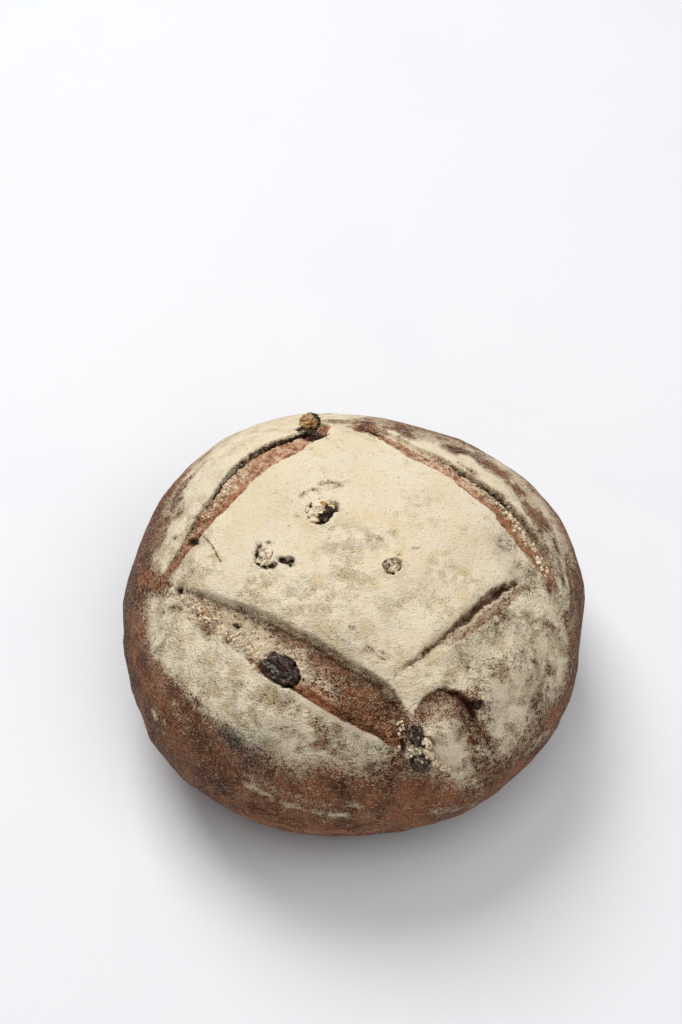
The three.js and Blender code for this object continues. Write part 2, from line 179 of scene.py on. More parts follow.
# Strokes on the crust map by layer: amount, half width, then x and y of each point that the stroke follows.
STROKES = {
    "scrape": [
        (0.32, 7.3, 59, 13, 67, 2, 75, -6), (0.5, 2.9, 6, -46, 12, -48),
        (0.45, 1.3, -0.8, -36.9, 0.5, -37.6), (0.4, 1.6, -19.5, -24, -17, -25.5),
        (0.5, 1.6, -13, 28.5, -9, 30, -3, 29), (0.2, 3.2, -4, 12, 1, 10), (0.35, 1.1, 23, 48.4, 25.5, 46),
        (0.35, 1.3, -11.5, 60, -4, 50), (0.3, 1.1, -11, -15, -3, -14.5, 7.5, -16),
        (0.3, 5.3, -69, -3, -57, -12, -46, -20), (0.25, 3.5, -43, -20, -23, -32, -4, -44, 11, -55),
        (0.25, 3.5, 22, -54, 38, -40, 58, -18), (0.5, 1.8, -19.5, 22, -16, 25.5, -10.5, 25),
        (0.45, 1.5, -7, 27, -5, 29, -1, 31), (0.4, 1.1, -31, 25, -26, 26), (0.35, 1.1, -23, 14, -20, 13),
        (0.45, 0.9, 17.7, -6, 21, -3, 26, -1), (0.5, 1.6, -38.4, -2.6, -37, 1.5, -33.5, 2.2),
        (0.45, 2.9, -74, 72, -56, 80), (0.55, 3.5, -85, 46, -68, 59), (0.8, 5, -104, 42, -96, 54, -86, 64),
        (0.6, 4.5, -96, 30, -80, 35), (0.65, 5, -92, 20, -90, 33, -83, 42), (0.65, 4, -104, 27, -105, 15),
        (0.7, 3.5, -103, 4, -87, -3), (0.4, 1.9, -85, -18, -74, -22),
        (0.6, 3.7, -115, -35, -90, -55, -67, -72, -57, -82),
        (0.85, 6.5, -124.5, -14.7, -110.4, -33.4, -97, -50, -84, -62, -73, -71),
        (0.35, 1.9, -80, -52, -66, -68), (0.3, 5.3, -30, -64, -12, -80),
        (0.5, 2.7, -24, -89, -13, -87, -3, -94), (0.25, 4, -46, -55, -30, -60, -15, -68),
        (0.35, 4, 34, -41, 48, -41), (0.3, 6.7, 51, -36, 70, -24), (0.25, 6.7, 53, -55, 77, -42, 91, -29),
        (0.6, 3.7, 103, -15, 116, -29, 121, -46), (0.6, 1.3, 89, -25.4, 100.6, -25.6),
        (0.5, 4, 95, -50, 89, -71), (0.6, 4, 50, -66, 57, -72, 59, -82),
        (0.8, 9, 56, -78, 62, -92, 80, -102), (0.9, 3.6, 46.4, -65, 50.4, -72, 54, -80, 58, -87.3),
        (0.85, 3.5, 56.7, -74.6, 63.3, -83.5, 71.6, -91.4), (0.4, 6, 78, -78, 92, -76, 98, -66),
        (0.25, 9, 70, -50, 86, -46), (0.75, 4, 14, 88, 33, 79, 49, 65),
        (0.82, 9, 12, 82, 40, 72, 62, 58, 82, 36, 96, 14), (0.75, 1.2, 8.5, 72.2, 13.1, 70, 16.6, 66.6),
        (0.5, 2.7, -13, 81, 2, 79, 14, 88), (0.6, 1.3, 72, 58.3, 75, 56),
        (0.5, 2.1, 47, 48, 56, 37, 64, 33), (0.65, 2.7, 72, 46, 84, 30, 95, 13, 101, 1),
        (0.8, 2.1, 105, 14, 110, 2, 111, -13),
    ],
    "smudge": [
        (0.3, 5.3, 60, 8, 74, -7), (1, 4.5, -56, -82, -50, -93), (0.5, 8, -56, -82, -46, -94),
        (0.35, 4, -45, -81, -26, -79), (0.3, 4.5, -12, -72, 5, -85, 16, -89), (0.3, 8, 47, -40, 63, -31),
    ],
    "grit": [
        (0.6, 8, -4, -4, -6, -10, 2, -15), (0.5, 8, -22, -34, -2, -44, 14, -49),
        (0.5, 8, 12, -26, 34, -30), (0.65, 8, -38, -17, -27, -23, -15, -24, -3, -25),
        (0.35, 5, 20, 14, 27, 21, 34, 16), (0.7, 5, 8, 2.4, 12, 2.3), (0.5, 6, 34, -9, 48, -12),
        (0.95, 8, 50, -40, 66, -30, 80, -22), (1, 9, 50, -56, 70, -47, 90, -36),
    ],
    "ember_and_bounce_light": [
        (0.9, 2.1, -68, 10, -75, 5, -84, -5), (0.5, 2.7, -84, -5, -95, 6, -107, 4),
        (0.85, 4.5, -98.1, 2.4, -84, -7), (0.75, 5, -112, 12, -102, 2, -93, -5),
        # The wide strokes along the base give orange crust together with a painted warm bounce of light from
        # below.
        (0.6, 1.2, 105.5, 10.5, 109.6, 1.3, 109.5, -11.5), (0.6, 8, -100, -112, -70, -132, -38, -143),
        (0.85, 8, -70, -138, -42, -148, -20, -157, 10, -163, 40, -160),
        (0.95, 1.5, -41.5, -46.6, -39.5, -49.8, -36.4, -53.2), (0.5, 1, -70.7, -26, -69.6, -27.4),
    ],
    # Dark roasted crust, painted darker still as shade down the left side, round the base and at the ends of
    # openings.
    "roast_and_shade": [
        (0.9, 11, -130, 34, -132, -5, -126, -45), (0.9, 15, -155, 45, -160, -5, -148, -62),
        (0.6, 5.5, -124.5, -14.7, -110.4, -33.4, -97, -50, -84, -62), (0.6, 4, -121, -47.8, -101.2, -63.9),
        (0.55, 4.5, -118, 14, -112, -8), (0.6, 4, 50, -66, 57, -72, 58, -80),
        (0.7, 3.2, 46.4, -65, 50.4, -72, 54, -80), (0.8, 1.4, 65.8, -12, 70, -9, 74.2, -6.5),
        (0.7, 1.6, 68.9, 55.4, 74.4, 57.8), (0.7, 1.4, 90.3, 41.8, 91.4, 33.1),
        (0.6, 1.2, 90.6, 54.8, 92, 52),
        (0.75, 11, -130, -125, -85, -160, -30, -178, 40, -180, 100, -152, 150, -95),
    ],
    "dust": [
        (0.95, 4.4, 39.7, -74, 42.1, -82.5, 44.4, -90), (0.85, 1.9, 29, 64, 38, 63),
        (0.8, 1.6, 89.6, 38, 97, 23.5), (0.72, 2.6, -44, -120.6, -28, -125, -18, -130, -4, -135),
        (0.66, 2.4, -53, -110, -47, -114.6, -39, -122), (0.6, 1.9, 0, -124, 5, -127),
        (0.58, 5, 53, -134, 75, -132, 77, -122), (0.56, 6, 81, -103, 93, -94, 110, -85),
        (0.45, 5.3, 49, -103, 67, -100), (0.9, 2.9, -103, -69, -97, -73),
        (0.5, 1.1, -101.4, -77.7, -99.2, -79.5), (0.5, 1.3, -70.7, -69.9, -64.8, -75.6),
        (0.5, 2.1, -52, -102, -37, -114, -12, -126),
    ],
    "torn": [
        (1, 0.8, 75.4, -10, 76.6, -10.7), (0.7, 1, 19.7, 63.2, 23.5, 59.3),
        (0.6, 0.8, -1.6, 73.2, 4.9, 74.9), (0.7, 1.6, 107, 13, 110.5, 1.6, 109.5, -11.5),
        (0.8, 2.6, -63.1, -25.4, -58, -31), (0.62, 2.4, -49.4, -38.4, -44, -43),
    ],
    # Painted shade inside the pits and holes of the crust.
    "hollow_shade": [
        (1, 1.9, -70.6, 11.8, -68.8, 10.8), (1, 1.1, -77.4, -11.6, -76, -12.8),
        (1, 0.9, -47.9, -32.1, -46.8, -33), (1, 1.5, 51.2, -67.2, 55.5, -68.4),
        (0.62, 0.8, 36.2, -61.6, 38.2, -60.9), (0.8, 0.8, 41.5, -62.4, 43.5, -63.3, 44.6, -62.2),
        (1, 1.1, -28.6, -5.6, -24.2, -8.7), (0.62, 0.35, -63.7, 11.2, -59.2, 5.2, -54.6, -3.9),
        (1, 3, -14, 64, -20, 66), (1, 2.4, -22.5, 68.3, -18.5, 71, -16.5, 75),
        (0.8, 1.1, 22, -86.5, 23.2, -91), (0.9, 0.8, -81.7, 18.1, -80.6, 16.5),
        (1, 1.2, -38.7, -2.5, -37.4, -6.8, -34, -9.2, -30.8, -8.2), (0.8, 0.8, -37.6, 1, -38.9, -1),
    ],
    "crumbs": [
        (0.95, 2.2, 33.4, -91.5, 38, -95.5, 47, -100),
    ],
}

# The layers that show on the crust. Two more, scrape and dust, only shape its flour and grit.
LAYERS = ("flour", "torn", "ember_and_bounce_light", "crumbs", "hollow_shade", "smudge", "roast_and_shade", "grit", "rough")

# ------------------------------------------------------------------ nuts and raisins


class Fruit(NamedTuple):
    """A nut or raisin that breaks through the crust."""

    at: tuple  # its middle, seen from above
    sunk: float  # how deep the middle sits
    size: tuple  # length, width and thickness
    turn: float  # of its length, in degrees
    seed: float
    gap: tuple  # which way its pocket opens beside it
    flour: float  # how much flour lies on its top
    pocket: float = 1  # how deep its pocket is and how much painted shade fills it
    lumps: float = 0.22  # how uneven a raisin is
    floured_from: float = 0.1  # how far up its flour starts
    dark: tuple = ()  # dark spots of a walnut: x, y and reach of each
    bare: tuple = ()  # the spot of a walnut without flour: x, y and reach


WALNUTS = {
    "walnut_crown": Fruit((-14.4, 16.8), 2.5, (14.6, 13, 9), 25, 1.3, (1.7, -2.4), 0.85, floured_from=-0.5,
                          dark=((-0.5, 0.72, 0.24), (0.1, 0.5, 0.1), (-0.12, -0.92, 0.26), (0.3, -0.84, 0.28),
                                (0.66, -0.62, 0.4)), bare=(0.38, -0.12, 0.3)),
    "walnut_rim": Fruit((-17.5, 67.5), -2.2, (10, 8.6, 8), 20, 4.1, (1.5, -2.5), 0.25,
                        dark=((0.7, -0.3, 0.8),), bare=(-0.5, 0, 0.6)),
    "walnut_chip": Fruit((26.8, -73), 0.4, (5.6, 4.6, 4.4), -60, 2.2, (0.2, 0.2), 0.9, pocket=0.3,
                         floured_from=-0.6, dark=((0, -0.8, 0.5),), bare=(0.3, 0.2, 0.4)),
}
RAISINS = {
    "raisin_left": Fruit((-34.6, -3.6), 2.4, (9.5, 8.6, 7), 60, 0.4, (-0.4, -1.2), 1.1),
    "raisin_left_small": Fruit((-26.6, -7), 3.0, (7.5, 4.8, 5), -25, 3.1, (1.9, 0.1), 0.0),
    "raisin_right": Fruit((13.5, -9.8), 2.6, (10, 9, 7.4), 35, 1.7, (0.8, -1.0), 0.75),
    "raisin_slash": Fruit((-28.3, -50.2), 0.6, (16, 11.6, 9.4), -42, 2.4, (0.4, -0.5), 0.2),
    "raisin_low_upper": Fruit((22.8, -71.6), 0.8, (8.8, 6.4, 7), -78, 5.2, (-0.3, 0.3), 0.3,
                              pocket=0.35, lumps=0.6),
    "raisin_low_lower": Fruit((24.7, -78), 0.8, (9.4, 6.6, 7), -56, 0.9, (-0.1, -0.5), 0.4,
                              pocket=0.35, lumps=0.6),
    "raisin_tear": Fruit((46.4, -58.2), 2.0, (5.6, 4.4, 4.6), 15, 4.6, (0.3, 0.3), 0.1),
}
FRUITS = [*WALNUTS.values(), *RAISINS.values()]

# Loose crumbs: how many, their size, how far they stray from a line, and the line's points on the crust map.
CRUMB_DRIFTS = [
    (70, 1.2, 3.6, [(-68, -20), (-60, -28), (-52, -35), (-44, -41), (-36, -47)]),
    (50, 1.5, 2.6, [(31, -91), (35, -93.5), (42, -98), (47, -101)]),
    (26, 1.1, 3.2, [(21, -78), (24, -84), (27, -90)]),
    (60, 1.3, 2.6, [(88, 1), (80, 10), (71, 21), (63, 29)]),
    (40, 1.2, 2.8, [(-50, 40), (-57, 31), (-64, 22)]),
]
CRUMB_DETAIL = 2
CRUMB_LIFT = 0.1  # how far above the crust a crumb's middle is, as a share of its size

# ------------------------------------------------------------------ numbers

SEED = 20


def smooth(value, low, high):
    """0 below low, 1 above high, eased between."""
    share = np.clip((value - low) / (high - low), 0, 1)
    return share * share * (3 - 2 * share)


def in_pairs(numbers):
    """A flat list of numbers as rows of two."""
    return np.reshape(numbers, (-1, 2)).astype(float)


def unit(vectors):
    """Rows of vectors, each at length 1."""
    return vectors / np.linalg.norm(vectors, axis=1)[:, None]


def stations(numbers, value):
    """The amount at a value, eased between places that are each followed by their amount."""
    places, amounts = in_pairs(numbers).T
    index = np.clip(np.searchsorted(places, value, side="right"), 1, len(places) - 1)
    share = smooth(value, places[index - 1], places[index])
    return amounts[index - 1] + (amounts[index] - amounts[index - 1]) * share


def spline(knots, shares):
    """A Catmull-Rom curve through the knots, at shares of its length from 0 to 1."""
    last = len(knots) - 1
    place = np.clip(shares, 0, 1) * last
    index = np.minimum(place.astype(int), last - 1)
    t = (place - index)[:, None]
    before = knots[np.maximum(index - 1, 0)]
    start = knots[index]
    end = knots[index + 1]
    after = knots[np.minimum(index + 2, last)]
    leave = (end - before) / 2
    arrive = (after - start) / 2
    cubic = (2 * start - 2 * end + leave + arrive) * t ** 3
    return cubic + (-3 * start + 3 * end - 2 * leave - arrive) * t ** 2 + leave * t + start


class Noise:
    """Smooth random values in space, from -1 to 1, the same on every run."""

    CELLS = 32

    def __init__(self, seed):
        self.lattice = np.random.default_rng(seed).uniform(-1, 1, (self.CELLS,) * 3).astype(np.float32)

    def __call__(self, points, size, octaves=1):
        """Lumps of about size millimetres, with each further octave half as large and half as high."""
        total = np.zeros(len(points))
        for octave in range(octaves):
            total += 0.5 ** octave * self.single(points * (2 ** octave / size) + 11.3 * octave)
        return total / (2 - 0.5 ** (octaves - 1))

    def single(self, cells):
        corner = np.floor(cells).astype(int)
        t = cells - corner
        t = t * t * (3 - 2 * t)
        total = np.zeros(len(cells))
        for offset in np.ndindex(2, 2, 2):
            share = np.prod(np.where(offset, t, 1 - t), axis=1)
            at = (corner + offset) % self.CELLS
            total += share * self.lattice[at[:, 0], at[:, 1], at[:, 2]]
        return total


NOISE = Noise(SEED)
# Turns places so that no lump lies square.
UNEVEN = np.array([(0.8, 0.36, -0.48), (-0.6, 0.48, -0.64), (0, 0.8, 0.6)])

# ------------------------------------------------------------------ the bare form


def outline_radius(angle):
    waves = [size * np.cos(count * (angle - math.radians(crest))) for count, size, crest in OUTLINE_WAVES]
    return LOAF_RADIUS * (1 + sum(waves))


def soft_floor(height):
    """Heights below the base come up to it, with a rounded turn."""
    turned = (height + BASE_ROUNDING) ** 2 / (4 * BASE_ROUNDING)
    return np.where(height >= BASE_ROUNDING, height, np.where(height <= -BASE_ROUNDING, 0, turned))


def bare_form(directions):
    """Places and normals of the loaf without any relief, in unit directions from its middle."""
    radius = outline_radius(np.arctan2(directions[:, 1], directions[:, 0]))
    rise = np.where(directions[:, 2] > 0, CROWN_RISE, UNDER_DROP)
    places = np.empty_like(directions)
    places[:, :2] = directions[:, :2] * radius[:, None] + CROWN_AXIS
    places[:, 2] = soft_floor(WAIST_HEIGHT + rise * directions[:, 2])
    return places, unit(directions / np.stack([radius, radius, rise], 1))


def plan_of(directions):
    """The points of the plan under the bare form's places in unit directions."""
    return bare_form(directions)[0][:, :2]


def directions_above(plan):
    """The unit directions of the crust straight above points of the plan."""
    from_axis = plan - CROWN_AXIS
    angle = np.arctan2(from_axis[:, 1], from_axis[:, 0])
    share = np.minimum(np.linalg.norm(from_axis, axis=1) / outline_radius(angle), OUTERMOST)
    return np.stack([share * np.cos(angle), share * np.sin(angle), np.sqrt(1 - share ** 2)], 1)


def crust_map(directions):
    """Points of the crust map for unit directions."""
    fall = LOAF_RADIUS * np.arccos(np.clip(directions[:, 2], -1, 1))
    level = np.maximum(np.linalg.norm(directions[:, :2], axis=1), 1e-9)
    return directions[:, :2] * (fall / level)[:, None]


def nearest_on(line, points, reach):
    """For each point: distance to a polyline, the place along it as a sample number, and its side, 1 on the
    right. Points well beyond reach all get reach as their distance."""
    low, high = line.min(0) - reach, line.max(0) + reach
    near = np.flatnonzero(np.all((points > low) & (points < high), axis=1))
    distance = np.full(len(points), float(reach))
    along = np.zeros(len(points))
    side = np.ones(len(points))
    starts, steps = line[:-1], np.diff(line, axis=0)
    lengths = (steps ** 2).sum(1)
    for chunk in np.array_split(near, max(1, len(near) // 20000)):
        offset = points[chunk][:, None] - starts[None]
        share = np.clip((offset * steps).sum(2) / lengths, 0, 1)
        gap = offset - share[..., None] * steps
        squares = (gap ** 2).sum(2)
        best = squares.argmin(1)
        rows = np.arange(len(chunk))
        distance[chunk] = np.sqrt(squares[rows, best])
        along[chunk] = best + share[rows, best]
        gap = gap[rows, best]
        step = steps[best]
        side[chunk] = np.sign(gap[:, 0] * step[:, 1] - gap[:, 1] * step[:, 0])
    return distance, along, side


# ------------------------------------------------------------------ slashes


class Slash:
    """One opening of the crust, measured along its middle line and across it."""

    SAMPLES_PER_KNOT = 12
    REACH = 3.6  # half widths that its relief spreads over

    def __init__(self, points, profile, ramp, lip_ramp, lean, paint, opens=(-1, 0)):
        self.profile, self.paint, self.lean = profile, paint, lean
        self.ramp, self.lip_ramp, self.opens = ramp, lip_ramp, opens
        self.count = self.SAMPLES_PER_KNOT * (len(points) - 1)
        samples = spline(np.array(points, float), np.linspace(0, 1, self.count + 1))
        self.line = samples[:, :2]
        self.widths = samples[:, 2]
        tangent = unit(np.gradient(self.line, axis=0))
        self.outward = np.stack([tangent[:, 1], -tangent[:, 0]], 1)

    def measure(self, plan):
        """Share of the length, place across, outward direction and half width for points of the plan."""
        distance, along, side = nearest_on(self.line, plan, self.REACH * self.widths.max())
        numbers = np.arange(self.count + 1)
        width = np.interp(along, numbers, self.widths)
        outward = np.stack([np.interp(along, numbers, self.outward[:, k]) for k in (0, 1)], 1)
        return along / self.count, side * distance / width, outward, width

    @staticmethod
    def ramped(ends, share):
        return smooth(share, 0, ends[0]) * smooth(1 - share, 0, ends[1])


SLASH_LINES = [Slash(**slash) for slash in SLASHES.values()]
WALL = (0.93, 1.02)  # the places across between which a slash's outer wall stands
WALL_EDGE = 0.1  # how wide the wall's edges are
WALL_END = 0.01  # the share of a slash's length at either end that has no wall


def pull_to_walls(plan):
    """Points of the plan, with those within an outer wall drawn to its foot or lip, for a crisp edge."""
    moved = plan.copy()
    for slash in SLASH_LINES:
        if not slash.lean:
            continue
        share, place, outward, width = slash.measure(plan)
        foot, lip = WALL
        margin = WALL_EDGE / 2 / width
        inside = (place > foot - margin) & (place < lip + margin)
        inside &= (share > WALL_END) & (share < 1 - WALL_END)
        wanted = np.where(place < (foot + lip) / 2, foot, lip)
        moved[inside] += (outward * ((wanted - place) * width)[:, None])[inside]
    return moved


# ------------------------------------------------------------------ the whole crust

HOLLOW_DEPTH = 1.6
POCKET_DEPTH = 3.6
POCKET_RIM = 0.8  # how high the crust rises round a pocket
POCKET_FRAY = 0.4
EDGE_WOBBLE, EDGE_FRAY = 0.05, 0.16  # how uneven a slash's edges run, in half widths and in millimetres
PAINT_FRAY = 1.7

# How far the flour fades before and after its edge, how ragged that is, and how much lies beyond it.
FLOUR_FADE = (18, 14)
FLOUR_RAGGED = 10
LEAST_FLOUR = 0.05
SMOOTH_FLOUR = 0.22  # how much thicker it lies where it isn't gritty
GRITTY_FALL = (48, 76)  # how far down the crust the flour turns gritty


def lump_height(places):
    total = np.zeros(len(places))
    for height, lengths, phases in LUMPS:
        wave = [2 * math.pi * places[:, k] / lengths[k] + phases[k] for k in range(3)]
        total += height * np.sin(wave[0]) * np.sin(wave[1]) * np.cos(wave[2])
    return total * smooth(places[:, 2], 4, 26)


def turned(offset, degrees):
    angle = math.radians(degrees)
    x, y = offset[:, 0], offset[:, 1]
    return x * math.cos(angle) + y * math.sin(angle), y * math.cos(angle) - x * math.sin(angle)


def swelling_height(plan):
    total = np.zeros(len(plan))
    for middle, radii, turn, height in SWELLINGS.values():
        along, across = turned(plan - middle, turn)
        total += height * (1 - smooth(np.hypot(along / radii[0], across / radii[1]), 0.15, 1))
    return total


def tangents(fruit, normal):
    """The directions of a nut's or raisin's length and width, in a crust with the given normal."""
    angle = math.radians(fruit.turn)
    side = np.cross(normal, (math.cos(angle), math.sin(angle), 0))
    side /= np.linalg.norm(side)
    return np.array([np.cross(side, normal), side])


def pocket_shares(places):
    """How far inside the nuts' and raisins' pockets places of the bare form are: 1 within, 0 outside, with a
    ragged edge; and the same for the rim round them."""
    deepest = np.zeros(len(places))
    rim = np.zeros(len(places))
    for fruit in FRUITS:
        middles, normals = bare_form(directions_above(np.array([fruit.at], float) + fruit.gap))
        along, across = tangents(fruit, normals[0]) @ (places - middles[0]).T
        level = math.sqrt(max(0.2, 1 - (fruit.sunk / (fruit.size[2] / 2)) ** 2))
        half = [0.9 * size / 2 * level + 0.25 for size in fruit.size[:2]]
        reach = np.hypot(along / half[0], across / half[1])
        near = np.linalg.norm(places - middles[0], axis=1) < 2.5 * half[0]
        ragged = np.zeros(len(places))
        ragged[near] = POCKET_FRAY * NOISE(places[near] @ UNEVEN, 2.1, 3)
        within = fruit.pocket * (1 - smooth(reach + ragged, 0.9, 1.12))
        deepest[near] = np.maximum(deepest, within)[near]
        rim[near] = np.maximum(rim, smooth(reach + ragged, 1.02, 1.2) * (1 - smooth(reach, 1.2, 1.9)))[near]
    return deepest, rim


def lay(layers, name, amount):
    """Raises a layer to an amount wherever it is less."""
    layers[name] = np.maximum(layers[name], amount)


def shape_crust(directions, pockets=True):
    """Places in millimetres of the finished crust in unit directions, and how much of each layer it wears."""
    places, normals = bare_form(directions)
    plan = places[:, :2]
    upper = directions[:, 2] > 0
    layers = {name: np.zeros(len(directions)) for name in (*LAYERS, "scrape", "dust")}
    height = lump_height(places)
    height += swelling_height(plan) * smooth(directions[:, 2], 0.1, 0.4)
    shift = np.zeros((len(directions), 2))
    wobble = NOISE(places, 7, 2)
    frayed = NOISE(places, 2.3, 2)
    ragged = NOISE(places @ UNEVEN, 3.6, 3)
    for slash in SLASH_LINES:
        share, place, outward, width = slash.measure(plan)
        rough_place = place + (EDGE_WOBBLE * wobble + EDGE_FRAY * frayed / width) * (np.abs(place) < 2)
        opened = smooth(share, *slash.opens)
        full = stations(slash.profile, rough_place) * (1 - smooth(place, 0.2, 0.8) * (1 - opened))
        lip = slash.ramped(slash.lip_ramp, share) * opened
        relief = full * np.where(full > 0, lip, slash.ramped(slash.ramp, share)) * (1 + 0.25 * wobble)
        height += np.where(upper, relief, 0)
        pull = -slash.lean * lip * smooth(place, *WALL) * (1 - smooth(place, 1, 2))
        shift += np.where(upper, pull, 0)[:, None] * outward
        inside = (1 - smooth(np.abs(rough_place), 0.8, 1.1)) * slash.ramped((0.06, 0.06), share)
        lay(layers, "rough", np.where(upper, inside, 0))
        painted = rough_place + PAINT_FRAY * ragged / width * (1 - smooth(place, 0.2, 0.7))
        for layer, across, along in slash.paint:
            amount = stations(across, painted) * stations(along, share)
            lay(layers, layer, np.where(upper, amount, 0))
    paint_strokes(crust_map(directions), layers)
    # the painted shade of cracks and pits also sinks the crust there
    height -= HOLLOW_DEPTH * layers["hollow_shade"] * upper
    if pockets:
        deep, rim = pocket_shares(places)
        height += np.where(upper, POCKET_RIM * rim - POCKET_DEPTH * deep, 0)
        # the pockets round nuts and raisins are painted with shade
        lay(layers, "hollow_shade", np.where(upper, deep, 0))
    paint_flour(directions, places, layers)
    places = places + normals * height[:, None]
    places[:, :2] += shift
    places[:, 2] = np.maximum(places[:, 2], 0)
    return places, normals, layers


def paint_strokes(chart, layers):
    """Adds the strokes to the layers at points of the crust map, with their edges and middles broken up."""
    level = np.c_[chart, np.zeros(len(chart))]
    wobble = NOISE(level, 9, 3)
    ripple = NOISE(level, 2.2, 2)
    crumbled = smooth(ripple, -0.35, 0.25)
    broken = smooth(NOISE(level + (0, 0, 40), 6.5, 3), -0.3, 0.2)
    for layer, strokes in STROKES.items():
        for amount, half_width, *points in strokes:
            distance, _, _ = nearest_on(in_pairs(points), chart, 3 * half_width)
            uneven = wobble if half_width > 2 else ripple
            ragged = distance * (1 + 0.6 * uneven) + 0.3 * half_width * uneven
            stroke = amount * (1 - smooth(ragged, 0.2 * half_width, 1.9 * half_width))
            if layer not in ("hollow_shade", "grit"):
                stroke *= 0.4 + 0.6 * (broken if half_width > 1.7 else crumbled)
            lay(layers, layer, stroke)


def paint_flour(directions, places, layers):
    """Adds the flour to the layers: all over the crown down to its edge, less where it is scraped or torn."""
    chart = crust_map(directions)
    fall = np.linalg.norm(chart, axis=1)
    bearing = np.degrees(np.arctan2(chart[:, 1], chart[:, 0]))
    edge_bearings, edge_falls = np.array(FLOUR_EDGE, float).T
    edge = np.interp(bearing, edge_bearings, edge_falls, period=360)
    ragged = FLOUR_RAGGED * NOISE(places, 18, 3)
    flour = 1 - smooth(fall + ragged, edge - FLOUR_FADE[0], edge + FLOUR_FADE[1])
    flour = LEAST_FLOUR + (1 - LEAST_FLOUR) * flour + 0.08 * NOISE(places, 24, 3)
    flour = np.maximum(flour, layers["dust"])
    lay(layers, "grit", 1.6 * layers["scrape"])
    coarse = smooth(fall + 14 * NOISE(places, 20, 2), *GRITTY_FALL) * (1 - 0.55 * smooth(chart[:, 1], 5, 45))
    coarse *= 0.65 + 0.35 * smooth(NOISE(places @ UNEVEN, 13, 3), -0.3, 0.2)
    lay(layers, "grit", coarse)
    flour += SMOOTH_FLOUR * (1 - np.minimum(layers["grit"], 1)) * (fall < edge - 20)
    layers["grit"] *= 1 - 0.6 * smooth(layers["dust"], 0.9, 1.2)
    layers["flour"] = flour * (1 - layers["scrape"]) * (1 - layers["torn"]) * (1 - 0.9 * layers["ember_and_bounce_light"])


# ------------------------------------------------------------------ meshes


def only(piece):
    """Makes a piece the only selected and active one."""
    bpy.ops.object.select_all(action="DESELECT")
    piece.select_set(True)
    bpy.context.view_layer.objects.active = piece


def read_rows(items, name, width):
    """What each item of a mesh holds under a name, in a row of numbers for each."""
    flat = np.empty(width * len(items), np.float32)
    items.foreach_get(name, flat)
    return flat.reshape(-1, width)


def read_points(piece):
    return read_rows(piece.data.vertices, "co", 3).astype(float)


def write_points(piece, points):
    piece.data.vertices.foreach_set("co", points.astype(np.float32).ravel())
    piece.data.update()


def write_layer(piece, name, values):
    layer = piece.data.attributes.new(name, "FLOAT", "POINT")
    layer.data.foreach_set("value", np.asarray(values, np.float32))


def ball(name, detail):
    """A round ball of unit radius to shape, alone selected."""
    bpy.ops.object.select_all(action="DESELECT")
    bpy.ops.mesh.primitive_ico_sphere_add(subdivisions=detail, radius=1, calc_uvs=False)
    piece = bpy.context.object
    piece.name = name
    piece.data.name = name
    return piece


def refine(piece, wanted):
    """Splits each of the ball's faces whose middle is wanted into four, and rounds the ball again."""
    chosen = wanted(unit(read_rows(piece.data.polygons, "center", 3).astype(float)))
    bpy.ops.object.mode_set(mode="EDIT")
    bpy.ops.mesh.select_mode(type="FACE")
    bpy.ops.mesh.select_all(action="DESELECT")
    bpy.ops.object.mode_set(mode="OBJECT")
    piece.data.polygons.foreach_set("select", chosen)
    bpy.ops.object.mode_set(mode="EDIT")
    bpy.ops.mesh.subdivide(number_cuts=1)
    bpy.ops.mesh.select_all(action="SELECT")
    bpy.ops.mesh.quads_convert_to_tris(quad_method="SHORTEST_DIAGONAL", ngon_method="BEAUTY")
    bpy.ops.object.mode_set(mode="OBJECT")
    write_points(piece, unit(read_points(piece)))


LAYER_STEPS = 10  # how many weights a layer is rounded to where it holds a pattern back
CREASE_ANGLE = math.radians(45)  # faces that meet at more than this are shaded with an edge between them


def roughen(piece, name, size, strength, layer=None):
    """Presses a fine pattern of lumps into the surface by a modifier, and applies it."""
    texture = bpy.data.textures.new(name, "CLOUDS")
    texture.noise_scale = size * MM
    modifier = piece.modifiers.new(name, "DISPLACE")
    modifier.texture = texture
    modifier.texture_coords = "LOCAL"
    modifier.mid_level = 0.5
    modifier.strength = strength * MM
    if layer:
        group = piece.vertex_groups.new(name=layer)
        values = read_rows(piece.data.attributes[layer].data, "value", 1)[:, 0]
        for step in range(1, LAYER_STEPS + 1):
            members = np.flatnonzero(np.round(values * LAYER_STEPS) == step)
            group.add(members.tolist(), step / LAYER_STEPS, "REPLACE")
        modifier.vertex_group = layer
    only(piece)
    bpy.ops.object.modifier_apply(modifier=name)
    bpy.data.textures.remove(texture)
    if layer:
        piece.vertex_groups.clear()


def finish_piece(piece, node, material):
    """Gives a finished mesh its material, hangs it under the loaf's root and hides the solid part it stands
    in for.
    """
    only(piece)
    bpy.ops.object.shade_smooth_by_angle(angle=CREASE_ANGLE)
    piece.data.materials.clear()
    piece.data.materials.append(material)
    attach(piece, "root")
    if node:
        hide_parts(node)


# ------------------------------------------------------------------ materials


def srgb(red, green, blue):
    """A colour as seen on a screen, 0 to 255, in linear light from 0 to 1."""
    shares = [value / 255 for value in (red, green, blue)]
    return tuple(s / 12.92 if s <= 0.04045 else ((s + 0.055) / 1.055) ** 2.4 for s in shares)


